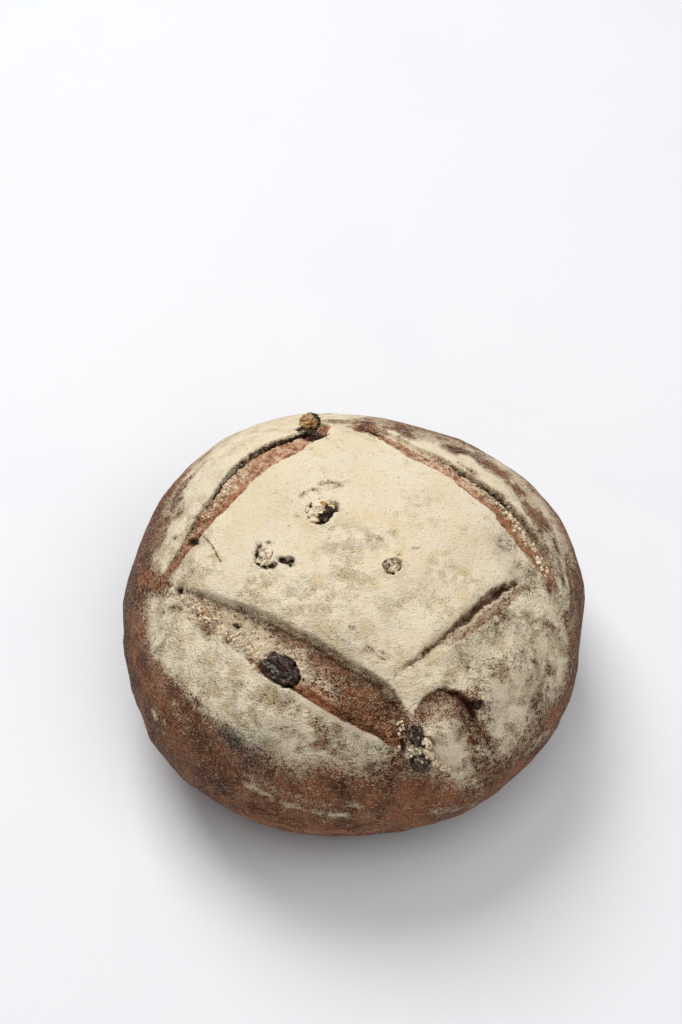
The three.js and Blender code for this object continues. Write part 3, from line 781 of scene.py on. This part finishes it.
class Mixer:
    """Builds a material's nodes, each with its settings and inputs in one call."""

    def __init__(self, name):
        self.material = bpy.data.materials.new(name)
        self.material.use_nodes = True
        self.tree = self.material.node_tree
        self.tree.nodes.clear()
        self.place = self.add("ShaderNodeTexCoord").outputs["Object"]

    def add(self, kind, inputs=(), **settings):
        node = self.tree.nodes.new(kind)
        for key, value in settings.items():
            setattr(node, key, value)
        for key, value in dict(inputs).items():
            self.feed(node.inputs[key], value)
        return node

    def feed(self, socket, value):
        if isinstance(value, bpy.types.NodeSocket):
            self.tree.links.new(value, socket)
        elif socket.type == "RGBA":
            socket.default_value = (*value[:3], 1)
        else:
            socket.default_value = value

    def layer(self, name):
        return self.add("ShaderNodeAttribute", attribute_name=name).outputs["Fac"]

    def noise(self, size, detail=2, roughness=0.5, stretch=None, turn=(0, 0, 0)):
        """Lumps of about size millimetres, from 0 to 1, stretched along axes that are turned by turn."""
        place = self.place
        if stretch:
            mapping = {"Vector": place, "Scale": [1 / s for s in stretch], "Rotation": turn}
            place = self.add("ShaderNodeMapping", mapping).outputs["Vector"]
        inputs = {"Vector": place, "Scale": 1 / (size * MM), "Detail": detail, "Roughness": roughness}
        return self.add("ShaderNodeTexNoise", inputs).outputs["Fac"]

    def waver(self, *sizes, **stretching):
        """The same lumps about zero, mostly from -1 to 1."""
        return self.math("MULTIPLY_ADD", self.noise(*sizes, **stretching), 8, -4)

    def math(self, operation, first, second=0.0, third=0.0):
        node = self.add("ShaderNodeMath", {0: first, 1: second, 2: third}, operation=operation)
        return node.outputs[0]

    def times(self, first, second):
        return self.math("MULTIPLY", first, second)

    def total(self, *terms):
        """The sum of sockets and numbers; a pair is a socket times a number."""
        result = 0.0
        for term in terms:
            if isinstance(term, tuple):
                result = self.math("MULTIPLY_ADD", term[0], term[1], result)
            else:
                result = self.math("ADD", result, term)
        return result

    def step(self, value, low, high, start=0.0, end=1.0):
        """Eases from start to end as the value goes from low to high."""
        inputs = {"Value": value, "From Min": low, "From Max": high, "To Min": start, "To Max": end}
        return self.add("ShaderNodeMapRange", inputs, interpolation_type="SMOOTHSTEP").outputs["Result"]

    def mix(self, share, first, second, blend="MIX"):
        node = self.add("ShaderNodeMix", {0: share, 6: first, 7: second}, data_type="RGBA", blend_type=blend)
        return node.outputs[2]

    def bump(self, height, distance, strength):
        inputs = {"Height": height, "Distance": distance * MM, "Strength": strength}
        return self.add("ShaderNodeBump", inputs).outputs["Normal"]

    def finish(self, **inputs):
        """The surface, from the shader's own inputs with spaces as underscores."""
        named = {key.replace("_", " "): value for key, value in inputs.items()}
        shader = self.add("ShaderNodeBsdfPrincipled", named)
        output = self.add("ShaderNodeOutputMaterial")
        self.tree.links.new(shader.outputs[0], output.inputs["Surface"])
        return self.material


def crust_material(colours):
    m = Mixer("floured_crust")
    powder = m.waver(0.42, 1, 0.5)
    dust = m.waver(0.75, 2, 0.6)
    grain = m.waver(1.9, 3, 0.6)
    strand = m.waver(3.2, 3, 0.6)
    patch = m.waver(6.5, 4, 0.6)
    cloud = m.waver(11, 4, 0.65)
    broad = m.waver(24, 3, 0.5)
    streak = m.waver(1.1, 3, 0.6, stretch=(4.5, 1, 1), turn=(0, 0, math.radians(-35)))
    pepper = m.total((powder, 0.5), (dust, 0.5))
    mottle = m.total((grain, 0.6), (dust, 0.4))

    # the baked crust under the flour
    brown = m.mix(m.step(m.total((broad, 0.7), (cloud, 0.4)), -1, 1), colours.crust, colours.crust_dark)
    brown = m.mix(m.step(patch, 0, 1.5, 0, 0.5), brown, colours.crust_red)
    brown = m.mix(m.step(m.total((grain, 0.5), (dust, 0.6)), -0.2, -1.3, 0, 0.75), brown, colours.crust_dark)
    brown = m.mix(m.step(m.total((grain, 0.35), (pepper, 0.9)), 0.3, 1.3, 0, 0.85), brown, colours.crust_pale)

    # where the crumb was torn open
    folds = m.total((strand, 0.6), (grain, 0.4), (dust, 0.2))
    torn = m.mix(m.step(folds, -0.9, 0.4), colours.torn_dark, colours.torn)
    strands = m.total((streak, 0.5), (strand, 0.5), (powder, 0.2))
    torn = m.mix(m.step(strands, -0.1, 0.9, 0, 0.92), torn, colours.torn_pale)
    ember_and_bounce_light = m.mix(m.step(mottle, -0.8, 0.5), colours.ember_dark, colours.ember_and_bounce_light)
    ember_and_bounce_light = m.mix(m.step(m.total((strand, 0.5), (pepper, 0.5)), 0.3, 1.1, 0, 0.6), ember_and_bounce_light, colours.torn_pale)

    # flour lies thick where its layer says and thins out grain by grain
    grit = m.layer("grit")
    rubbed = m.step(m.total((patch, 0.55), (cloud, 0.5), (strand, 0.2)), -0.75, 0.85)
    gritty = m.times(grit, m.total((rubbed, 0.75), 0.35))
    fine = m.total((powder, 0.07), (dust, 0.09), (grain, 0.08), (streak, 0.05))
    loose = m.step(m.layer("flour"), 0.95, 0.55)
    fine = m.times(fine, m.total((gritty, 1.1), (loose, 1.1), (m.layer("rough"), 0.5), 0.45))
    speckle = m.total(fine, (patch, 0.11), (broad, 0.05))
    # dark roasted crust, with painted shade in the valleys, down the left side and round the base
    base = m.mix(m.step(m.total(m.layer("roast_and_shade"), (speckle, 1.4)), 0.1, 1), brown, colours.crust_roast_and_shade)
    base = m.mix(m.step(m.total(m.layer("torn"), (speckle, 1.2)), 0.3, 0.75), base, torn)
    # orange torn crust; along the base it is also a painted warm bounce of light
    base = m.mix(m.step(m.total(m.layer("ember_and_bounce_light"), (speckle, 1.3), (strand, 0.14)), 0.2, 0.95), base, ember_and_bounce_light)

    worn = m.times(m.step(grit, 0.45, 0.95), m.step(rubbed, 0.45, 1, 0.04, -0.3))
    amount = m.total(m.layer("flour"), speckle, worn)
    film = m.step(m.total(amount, (pepper, 0.07)), 0.12, 0.48, 0, 0.85)
    film = m.times(film, m.step(m.layer("torn"), 0.1, 0.6, 1, 0.2))
    thin = m.mix(film, base, colours.flour_thin)
    cover = m.step(amount, 0.22, 0.9)
    white = m.mix(m.step(broad, -0.8, 0.8), colours.flour, colours.flour_cool)
    white = m.mix(m.step(m.total((patch, 0.7), (streak, 0.3)), 0.1, 1.5, 0, 0.75), white, colours.flour_warm)
    toasted = m.times(m.step(grit, 0.1, 0.7),
                      m.step(m.total((grain, 0.6), (patch, 0.5), (broad, 0.3)), -0.2, 1.5, 0, 0.7))
    white = m.mix(toasted, white, colours.flour_toast)
    # the palest flour drifts on the flaps, brightened further as painted highlight
    drift_and_highlight = m.times(grit, m.step(rubbed, 0.75, 0.1, 0, 0.95))
    white = m.mix(drift_and_highlight, white, colours.flour_drift_and_highlight)
    specks = m.step(m.total((powder, 0.55), (dust, 0.45), (streak, 0.25), (grain, 0.2)), 0, -1.3)
    specked = m.step(m.times(gritty, m.step(grit, 0.3, 0.9, 0.5, 1)), 0, 1, 0.1, 0.8)
    white = m.mix(m.times(specks, specked), white, colours.flour_shadow)
    colour = m.mix(cover, thin, white)
    sparks = m.total((powder, 0.6), (dust, 0.5), (grain, 0.25), (m.layer("flour"), 0.8))
    sparks = m.step(sparks, 0.58, 1.1, 0, 0.95)
    sparks = m.times(sparks, m.step(m.layer("flour"), 0.75, 0.45))
    # pale specks on the brown crust, the brightest of them painted as highlight
    spark = m.mix(m.step(strand, 0, 1.2), colours.crust_pale, colours.flour_drift_and_highlight)
    colour = m.mix(sparks, colour, spark)

    # loose crumbs, scorched flour and painted shade in cracks, pits and pockets
    crumb = m.mix(m.step(mottle, 0.2, -0.9, 0, 0.85), colours.crumb, base)
    crumb = m.mix(m.step(m.total((strand, 0.6), (dust, 0.4)), 0, 1.2, 0, 0.8), crumb, white)
    crumbs = m.step(m.total((m.layer("crumbs"), 0.85), (mottle, 0.3), (strand, 0.22)), 0.3, 0.85)
    colour = m.mix(crumbs, colour, crumb)
    colour = m.mix(m.times(m.layer("smudge"), m.step(speckle, -0.2, 0.2, 1, 0.4)), colour, colours.smudge)
    # painted shade in cracks, slots, pits and pockets
    hollow_shade = m.total(m.layer("hollow_shade"), (speckle, 0.3), (mottle, 0.26), (powder, 0.2))
    colour = m.mix(m.step(hollow_shade, 0.2, 0.9), colour, colours.hollow_shade)

    grains = m.total((powder, 0.14), (dust, 0.22), (grain, 0.17), (streak, 0.09))
    relief = m.total(m.times(grains, m.step(gritty, 0, 1, 0.45, 1.5)), (cover, 0.4))
    normal = m.bump(relief, 0.62, 1.0)
    roughness = m.step(cover, 0, 1, 0.62, 0.95)
    return m.finish(Base_Color=colour, Roughness=roughness, Normal=normal, Specular_IOR_Level=0.14)


def walnut_material(colours):
    m = Mixer("walnut_kernel")
    fine = m.noise(0.5, 3, 0.6)
    patch = m.noise(2.4, 3, 0.6)
    nut = m.mix(m.step(m.total((patch, 0.6), (fine, 0.4)), 0.4, 0.6), colours.walnut, colours.walnut_dark)
    # darker skin and painted shade in the walnut's folds and gaps
    nut = m.mix(m.layer("fold"), nut, colours.walnut_skin_and_shade)
    cover = m.step(m.total(m.layer("flour"), (fine, 1.4), (patch, 1), -1.15), 0.25, 0.65)
    colour = m.mix(cover, nut, colours.flour)
    normal = m.bump(m.total((fine, 0.5), (patch, 0.5)), 0.2, 0.7)
    return m.finish(Base_Color=colour, Roughness=0.6, Normal=normal, Specular_IOR_Level=0.35)


def raisin_material(colours):
    m = Mixer("raisin_skin")
    fine = m.noise(0.45, 3, 0.65)
    patch = m.noise(2.0, 3, 0.6)
    skin = m.mix(m.step(patch, 0.4, 0.65), colours.raisin, colours.raisin_red)
    # painted shade in the raisin's folds
    skin = m.mix(m.layer("fold"), skin, colours.raisin_fold_shade)
    blotch = m.noise(1.9, 4, 0.65)
    amount = m.total(m.layer("flour"), (fine, 1.2), (blotch, 3.2), (patch, 1), -2.7)
    cover = m.step(amount, 0.35, 0.8)
    frosted = m.mix(m.times(cover, 0.6), skin, colours.raisin_frost)
    colour = m.mix(m.step(amount, 0.65, 1.15), frosted, colours.flour)
    normal = m.bump(m.total((fine, 0.4), (patch, 0.6)), 0.2, 0.7)
    roughness = m.step(cover, 0, 1, 0.25, 0.9)
    return m.finish(Base_Color=colour, Roughness=roughness, Normal=normal, Specular_IOR_Level=0.36)


def crumb_material(colours):
    m = Mixer("loose_crumb")
    lump = m.noise(1.3, 2, 0.5)
    fine = m.noise(0.4, 2, 0.6)
    crumb = m.mix(m.step(lump, 0.5, 0.66, 0, 0.8), colours.flour, colours.crumb)
    crumb = m.mix(m.step(m.total((lump, 0.4), (fine, 0.6)), 0.54, 0.68, 0, 0.85), crumb, colours.crust)
    normal = m.bump(fine, 0.2, 0.8)
    return m.finish(Base_Color=crumb, Roughness=0.9, Normal=normal, Specular_IOR_Level=0.15)


def floor_material(colours):
    m = Mixer("studio_floor")
    cloud = m.noise(120, 4, 0.6)
    colour = m.mix(m.step(cloud, 0.45, 0.75, 0, 0.5), colours.floor, colours.floor_vein)
    return m.finish(Base_Color=colour, Roughness=0.5, Specular_IOR_Level=0.3)


def colour_property(name, description, *values):
    return FloatVectorProperty(name=name, description=description, subtype="COLOR", size=3, min=0, max=1,
                               default=srgb(*values))


# ------------------------------------------------------------------ settings


class LoafColours(bpy.types.PropertyGroup):
    """The colours of the loaf and of what it stands on."""

    flour: colour_property("Flour", "Thick flour on the crown", 232, 215, 184)
    flour_cool: colour_property("Cool flour", "Flour in its paler drifts", 234, 220, 194)
    flour_warm: colour_property("Warm flour", "Flour toasted by the oven", 228, 203, 154)
    flour_toast: colour_property("Toasted flour", "Flour that turned yellow", 235, 210, 160)
    # palest flour, brightened as painted highlight
    flour_drift_and_highlight: colour_property("Drifted flour", "The palest flour between rubbed spots", 248, 233, 202)
    flour_thin: colour_property("Thinnest flour", "A film of flour over the crust", 162, 124, 95)
    flour_shadow: colour_property("Shaded flour", "Flour between its grains", 156, 125, 91)
    crust: colour_property("Crust", "Baked crust", 152, 96, 63)
    crust_dark: colour_property("Dark crust", "Crust where it baked longest", 82, 43, 22)
    crust_red: colour_property("Red crust", "Redder parts of the crust", 142, 78, 51)
    crust_pale: colour_property("Pale crust", "Fine pale specks of the crust", 218, 180, 148)
    # roasted crust that also serves as painted shade
    crust_roast_and_shade: colour_property("Roasted crust", "Darkest baked crust", 60, 34, 19)
    torn: colour_property("Torn crumb", "Crumb that opened in the oven", 194, 145, 114)
    torn_dark: colour_property("Dark torn crumb", "Hollows of the torn crumb", 136, 92, 66)
    torn_pale: colour_property("Pale torn crumb", "Strands of the torn crumb", 224, 192, 160)
    # orange crust, which along the base also paints bounced light
    ember_and_bounce_light: colour_property("Ember", "Orange edge of the torn crust", 194, 122, 76)
    ember_dark: colour_property("Dark ember", "Deeper orange brown", 134, 76, 46)
    crumb: colour_property("Crumb", "Loose crumbs in the opened crust", 218, 190, 156)
    # painted shade inside cracks, pits and pockets
    hollow_shade: colour_property("Hollow", "Inside of cracks and pits", 36, 18, 7)
    smudge: colour_property("Smudge", "Scorched flour", 56, 54, 54)
    walnut: colour_property("Walnut", "Kernel of a walnut", 212, 174, 112)
    walnut_dark: colour_property("Dark walnut", "Toasted kernel", 152, 108, 60)
    # darker skin together with painted shade in a walnut's folds
    walnut_skin_and_shade: colour_property("Walnut skin", "Skin in a walnut's folds", 44, 30, 20)
    raisin: colour_property("Raisin", "Skin of a raisin", 54, 36, 29)
    raisin_red: colour_property("Red raisin", "Redder raisin skin", 70, 40, 29)
    raisin_frost: colour_property("Raisin frost", "Grey bloom of flour on a raisin", 176, 156, 126)
    # painted shade in a raisin's folds
    raisin_fold_shade: colour_property("Dark raisin", "Folds of a raisin", 22, 14, 11)
    floor: colour_property("Floor", "Studio floor", 232, 233, 236)
    floor_vein: colour_property("Floor veins", "Faint clouds in the floor", 225, 227, 231)


class LoafSizes(bpy.types.PropertyGroup):
    """How fine the meshes are and how rough their surfaces."""

    crust_detail: IntProperty(name="Crust detail", default=6, min=4, max=7,
                              description="Subdivisions of the ball that the crust starts as")
    piece_detail: IntProperty(name="Nut and raisin detail", default=6, min=3, max=7,
                              description="Subdivisions of the ball that each nut and raisin starts as")
    tear_relief: FloatProperty(name="Tear relief", description="Depth of the torn crumb's roughness",
                               default=0.9 * MM, min=0, max=5 * MM, precision=5, unit="LENGTH")


class StudioSettings(bpy.types.PropertyGroup):
    """The camera and the lights."""

    target: FloatVectorProperty(name="Camera target", description="The point that the camera looks at",
                                subtype="TRANSLATION", default=(-0.00522, 0.05507, 0.03531))
    elevation: FloatProperty(name="Camera elevation", description="Angle of the view above the floor",
                             subtype="ANGLE", default=math.radians(57.5))
    distance: FloatProperty(name="Camera distance", description="From the camera to its target",
                            unit="LENGTH", default=1.0107)
    lens: FloatProperty(name="Lens", description="Focal length in millimetres", default=85, min=1)
    key_power: FloatProperty(name="Key light", description="Power of the large light behind the loaf",
                             unit="POWER", default=66)
    top_power: FloatProperty(name="Top light", description="Power of the wide light above the loaf",
                             unit="POWER", default=33)
    sky: FloatProperty(name="Sky", description="Brightness of the even light from all round",
                       default=0.18, min=0)


# ------------------------------------------------------------------ pieces


# How far round the slashes, nuts, raisins and pits the crust is refined, once for each number.
RELIEF_MARGINS = (2.0, 0.3)
WALL_MARGIN = 0.8  # how far round the slashes' outer walls it is refined once more
PIT_SPREAD = 1  # how much further than its points a pit reaches
UNDERSIDE = -0.9  # the height in the ball below which the crust stays coarse
ABOVE_WAIST = 0.05  # the height in the ball above which edges are drawn to the walls

# Fine patterns pressed into the crust: name, size, strength, and the layer that it follows. Those of the
# torn crumb are as strong as the setting for its relief says, times their strength here.
CRUST_PATTERNS = [
    ("wrinkles", 5, 0.5, None),
    ("flour_lumps", 9, 1.3, "grit"),
    ("open_crumb", 1.2, 0.8, "rough"),
    ("torn_folds", 3.6, 1.5, "torn"),
    ("torn_strands", 1.6, 1, "torn"),
    ("loose_crumbs", 1.7, 2, "crumbs"),
    ("fine_crumbs", 0.8, 0.9, "crumbs"),
]


def near_relief(directions, margin):
    """Which directions lie within margin of a slash, a nut, a raisin or a pit."""
    plan = plan_of(directions)
    chosen = np.zeros(len(plan), bool)
    for slash in SLASH_LINES:
        _, place, _, width = slash.measure(plan)
        chosen |= np.abs(place) * width < width + margin
    for fruit in FRUITS:
        distance = np.linalg.norm(plan - fruit.at, axis=1)
        chosen |= distance < max(fruit.size[:2]) / 2 + margin
    chart = crust_map(directions)
    for _, _, *points in STROKES["hollow_shade"]:
        distance, _, _ = nearest_on(in_pairs(points), chart, margin + PIT_SPREAD)
        chosen |= distance < margin + PIT_SPREAD
    return chosen & (directions[:, 2] > 0)


def near_walls(directions, margin):
    """Which directions lie within margin of a slash's outer wall."""
    plan = plan_of(directions)
    chosen = np.zeros(len(plan), bool)
    for slash in SLASH_LINES:
        if slash.lean:
            share, place, _, width = slash.measure(plan)
            walled = (share > WALL_END / 2) & (share < 1 - WALL_END / 2)
            chosen |= walled & (np.abs(place - sum(WALL) / 2) * width < margin)
    return chosen & (directions[:, 2] > 0)


class LOAF_OT_crust(bpy.types.Operator):
    """Models the loaf's crust with its slashes, swellings, pits and flour"""

    bl_idname = "loaf.crust"
    bl_label = "Crust"

    def execute(self, context):
        settings = context.scene.loaf_sizes
        crust = ball("crust", settings.crust_detail)
        refine(crust, lambda directions: directions[:, 2] > UNDERSIDE)
        for margin in RELIEF_MARGINS:
            refine(crust, lambda directions: near_relief(directions, margin))
        refine(crust, lambda directions: near_walls(directions, WALL_MARGIN))
        directions = read_points(crust)
        upper = directions[:, 2] > ABOVE_WAIST
        directions[upper] = directions_above(pull_to_walls(plan_of(directions)[upper]))
        places, _, layers = shape_crust(directions)
        write_points(crust, places * MM)
        for name in LAYERS:
            write_layer(crust, name, layers[name])
        for name, size, strength, layer in CRUST_PATTERNS:
            if layer == "torn":
                strength = strength * settings.tear_relief / MM
            roughen(crust, name, size, strength, layer)
        points = read_points(crust)
        points[:, 2] = np.maximum(points[:, 2], 0)  # the base stands flat
        write_points(crust, points)
        finish_piece(crust, "loaf", crust_material(context.scene.loaf_colours))
        return {"FINISHED"}


def seat(fruit):
    """The directions of a nut's or raisin's length, width and thickness in the crust, and its middle."""
    places, normals, _ = shape_crust(directions_above(np.array([fruit.at], float)), pockets=False)
    return np.array([*tangents(fruit, normals[0]), normals[0]]), places[0] - normals[0] * fruit.sunk


def creases(points, seed, size, width):
    """1 in the creases of a wrinkled skin, 0 between them."""
    bent = points + 0.25 * np.stack([NOISE(points + seed + k, 0.9) for k in range(3)], 1)
    return 1 - smooth(np.abs(NOISE(bent + 2.3 * seed, size, 2)), 0, width)


def raisin_share(points, raisin):
    """How far out the skin of a raisin lies, as a share of an even one, and how deep in a fold it is."""
    stretched = points * (0.8, 1.3, 1.3)
    coarse = creases(stretched, raisin.seed, 0.7, 0.36)
    fine = creases(stretched, raisin.seed + 5, 0.34, 0.2)
    lumps = raisin.lumps * NOISE(points @ UNEVEN + 2 * raisin.seed, 0.8, 2)
    share = 1 - 0.17 * coarse - 0.03 * fine + lumps
    # the fold share also says where the skin is painted with the shade of its creases
    return share, np.clip(0.8 * coarse ** 2 + 0.2 * fine, 0, 1)


def walnut_share(points, walnut):
    """The same for the kernel of a walnut, whose dark spots count as folds."""
    coarse = creases(points, walnut.seed, 0.8, 0.3)
    fine = creases(points, walnut.seed + 7, 0.35, 0.25)
    lumps = NOISE(points @ UNEVEN + 3 * walnut.seed, 0.42, 3)
    dark = np.zeros(len(points))
    for x, y, reach in walnut.dark:
        away = np.hypot(points[:, 0] - x, points[:, 1] - y)
        dark = np.maximum(dark, 1 - smooth(away + 0.3 * lumps, 0.5 * reach, reach))
    share = 0.96 - 0.14 * coarse - 0.06 * fine + 0.2 * lumps - 0.1 * dark
    # the fold share marks darker skin with painted shade: in creases, in the low places between lumps and at
    # the dark spots
    fold = np.clip(0.3 * coarse ** 1.5 + 0.25 * fine ** 2 + 0.8 * smooth(-lumps, 0.2, 0.5), 0, 1)
    return share, np.maximum(fold, dark)


def flour_on(points, fruit, fold):
    """How thick the flour lies on a nut or raisin: on its top, but not in folds and on a spot if it has a
    bare one."""
    bare = 0
    if fruit.bare:
        x, y, reach = fruit.bare
        bare = 1 - smooth(np.hypot(points[:, 0] - x, points[:, 1] - y), 0.6 * reach, reach)
        bare = np.maximum(bare, fold)
    return fruit.flour * smooth(points[:, 2], fruit.floured_from, 0.6) * (1 - bare)


def model_fruits(context, fruits, share_of, material, grain):
    """Models each nut or raisin as a shaped ball in its place, with a grain of the given size and depth."""
    for name, fruit in fruits.items():
        mesh = ball(name + "_skin", context.scene.loaf_sizes.piece_detail)
        points = read_points(mesh)
        share, fold = share_of(points, fruit)
        axes, middle = seat(fruit)
        half = np.array(fruit.size) / 2
        write_points(mesh, ((points * share[:, None] * half) @ axes + middle) * MM)
        write_layer(mesh, "fold", fold)
        write_layer(mesh, "flour", flour_on(points, fruit, fold))
        roughen(mesh, "grain", *grain)
        finish_piece(mesh, name, material)


class LOAF_OT_walnuts(bpy.types.Operator):
    """Models the walnut pieces that break through the crust"""

    bl_idname = "loaf.walnuts"
    bl_label = "Walnuts"

    def execute(self, context):
        material = walnut_material(context.scene.loaf_colours)
        model_fruits(context, WALNUTS, walnut_share, material, grain=(1.2, 0.4))
        return {"FINISHED"}


class LOAF_OT_raisins(bpy.types.Operator):
    """Models the raisins that break through the crust"""

    bl_idname = "loaf.raisins"
    bl_label = "Raisins"

    def execute(self, context):
        material = raisin_material(context.scene.loaf_colours)
        model_fruits(context, RAISINS, raisin_share, material, grain=(0.8, 0.25))
        return {"FINISHED"}


def on_crust(chart):
    """Places and normals of the crust for points of the crust map."""
    fall = np.linalg.norm(chart, axis=1)
    level = np.sin(fall / LOAF_RADIUS) / fall
    directions = np.c_[chart * level[:, None], np.cos(fall / LOAF_RADIUS)]
    places, normals, _ = shape_crust(directions)
    return places, normals


class LOAF_OT_crumbs(bpy.types.Operator):
    """Models the loose crumbs that lie in the openings and beside the raisins"""

    bl_idname = "loaf.crumbs"
    bl_label = "Crumbs"

    def execute(self, context):
        random = np.random.default_rng(SEED)
        pieces = []
        for count, size, stray, line in CRUMB_DRIFTS:
            numbers = np.arange(len(line))
            at = random.uniform(0, numbers[-1], count)
            middles = np.stack([np.interp(at, numbers, np.array(line, float)[:, k]) for k in (0, 1)], 1)
            places, normals = on_crust(middles + random.normal(0, stray / 2, (count, 2)))
            for place, normal in zip(places, normals):
                pieces.append(self.crumb(random, size, place, normal))
        for piece in pieces:
            piece.select_set(True)
        context.view_layer.objects.active = pieces[0]
        bpy.ops.object.join()
        crumbs = context.object
        crumbs.name = "loose_crumbs"
        finish_piece(crumbs, None, crumb_material(context.scene.loaf_colours))
        return {"FINISHED"}

    @staticmethod
    def crumb(random, size, place, normal):
        """One crumb of about the given size, sunk a little into the crust."""
        piece = ball("crumb", CRUMB_DETAIL)
        points = read_points(piece)
        points *= 1 + 0.45 * NOISE(points + random.uniform(0, 30, 3), 0.7, 2)[:, None]
        half = size / 2 * random.uniform(0.55, 1.25) * random.uniform(0.7, 1.2, 3)
        turn = np.array(Matrix.Rotation(random.uniform(0, math.tau), 3, normal.tolist()))
        write_points(piece, (points * half @ turn + place + CRUMB_LIFT * size * normal) * MM)
        return piece


# ------------------------------------------------------------------ stage

# Place and size of each light in metres, and the point that both shine at.
KEY_LIGHT = ((-0.8, 1.7, 2.4), 1.6)
TOP_LIGHT = ((0.55, -0.5, 2.35), 2.4)
LIT_POINT = (0, 0, 0.05)
SKY_COLOUR = (1, 0.99, 0.97, 1)
FLOOR_SIZE = 4
SENSOR_WIDTH = 36
FARTHEST_SEEN = 10


def area_light(name, place, size, power):
    """A soft square light at a place, turned to the lit point."""
    bpy.ops.object.light_add(type="AREA", location=place)
    light = bpy.context.object
    light.name = name
    light.data.size = size
    light.data.energy = power
    light.rotation_euler = (Vector(LIT_POINT) - Vector(place)).to_track_quat("-Z", "Y").to_euler()


class LOAF_OT_stage(bpy.types.Operator):
    """Sets up the floor, the lights and the camera"""

    bl_idname = "loaf.stage"
    bl_label = "Stage"

    def execute(self, context):
        scene = context.scene
        studio = scene.loaf_studio
        bpy.ops.object.select_all(action="DESELECT")
        bpy.ops.mesh.primitive_plane_add(size=FLOOR_SIZE, location=(0, 0, 0))
        floor = context.object
        floor.name = "floor"
        floor.data.materials.append(floor_material(scene.loaf_colours))

        area_light("key_light", *KEY_LIGHT, studio.key_power)
        area_light("top_light", *TOP_LIGHT, studio.top_power)
        world = bpy.data.worlds.new("studio_sky")
        world.use_nodes = True
        background = world.node_tree.nodes["Background"]
        background.inputs["Color"].default_value = SKY_COLOUR
        background.inputs["Strength"].default_value = studio.sky
        scene.world = world
        scene.view_settings.view_transform = "Standard"

        target = Vector(studio.target)
        back = Vector((0, -math.cos(studio.elevation), math.sin(studio.elevation)))
        bpy.ops.object.camera_add(location=target + back * studio.distance)
        camera = context.object
        camera.rotation_euler = (math.pi / 2 - studio.elevation, 0, 0)
        camera.data.lens = studio.lens
        camera.data.sensor_width = SENSOR_WIDTH
        camera.data.clip_end = FARTHEST_SEEN
        scene.camera = camera
        return {"FINISHED"}


class LOAF_PT_panel(bpy.types.Panel):
    """Lists the loaf's pieces and their settings"""

    bl_idname = "LOAF_PT_panel"
    bl_label = "Loaf"
    bl_space_type = "VIEW_3D"
    bl_region_type = "UI"
    bl_category = "Loaf"

    def draw(self, context):
        for operator in OPERATORS:
            self.layout.operator(operator.bl_idname)
        for settings in (context.scene.loaf_sizes, context.scene.loaf_colours, context.scene.loaf_studio):
            box = self.layout.box()
            for name in settings.__annotations__:
                box.prop(settings, name)


OPERATORS = (LOAF_OT_stage, LOAF_OT_crust, LOAF_OT_walnuts, LOAF_OT_raisins, LOAF_OT_crumbs)
CLASSES = (LoafColours, LoafSizes, StudioSettings, *OPERATORS, LOAF_PT_panel)


def register():
    for cls in CLASSES:
        bpy.utils.register_class(cls)
    bpy.types.Scene.loaf_colours = PointerProperty(type=LoafColours)
    bpy.types.Scene.loaf_sizes = PointerProperty(type=LoafSizes)
    bpy.types.Scene.loaf_studio = PointerProperty(type=StudioSettings)


def unregister():
    del bpy.types.Scene.loaf_studio
    del bpy.types.Scene.loaf_sizes
    del bpy.types.Scene.loaf_colours
    for cls in reversed(CLASSES):
        bpy.utils.unregister_class(cls)


def main():
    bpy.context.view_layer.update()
    register()
    bpy.ops.loaf.stage()
    bpy.ops.loaf.crust()
    bpy.ops.loaf.walnuts()
    bpy.ops.loaf.raisins()
    bpy.ops.loaf.crumbs()


if __name__ == "__main__":
    main()
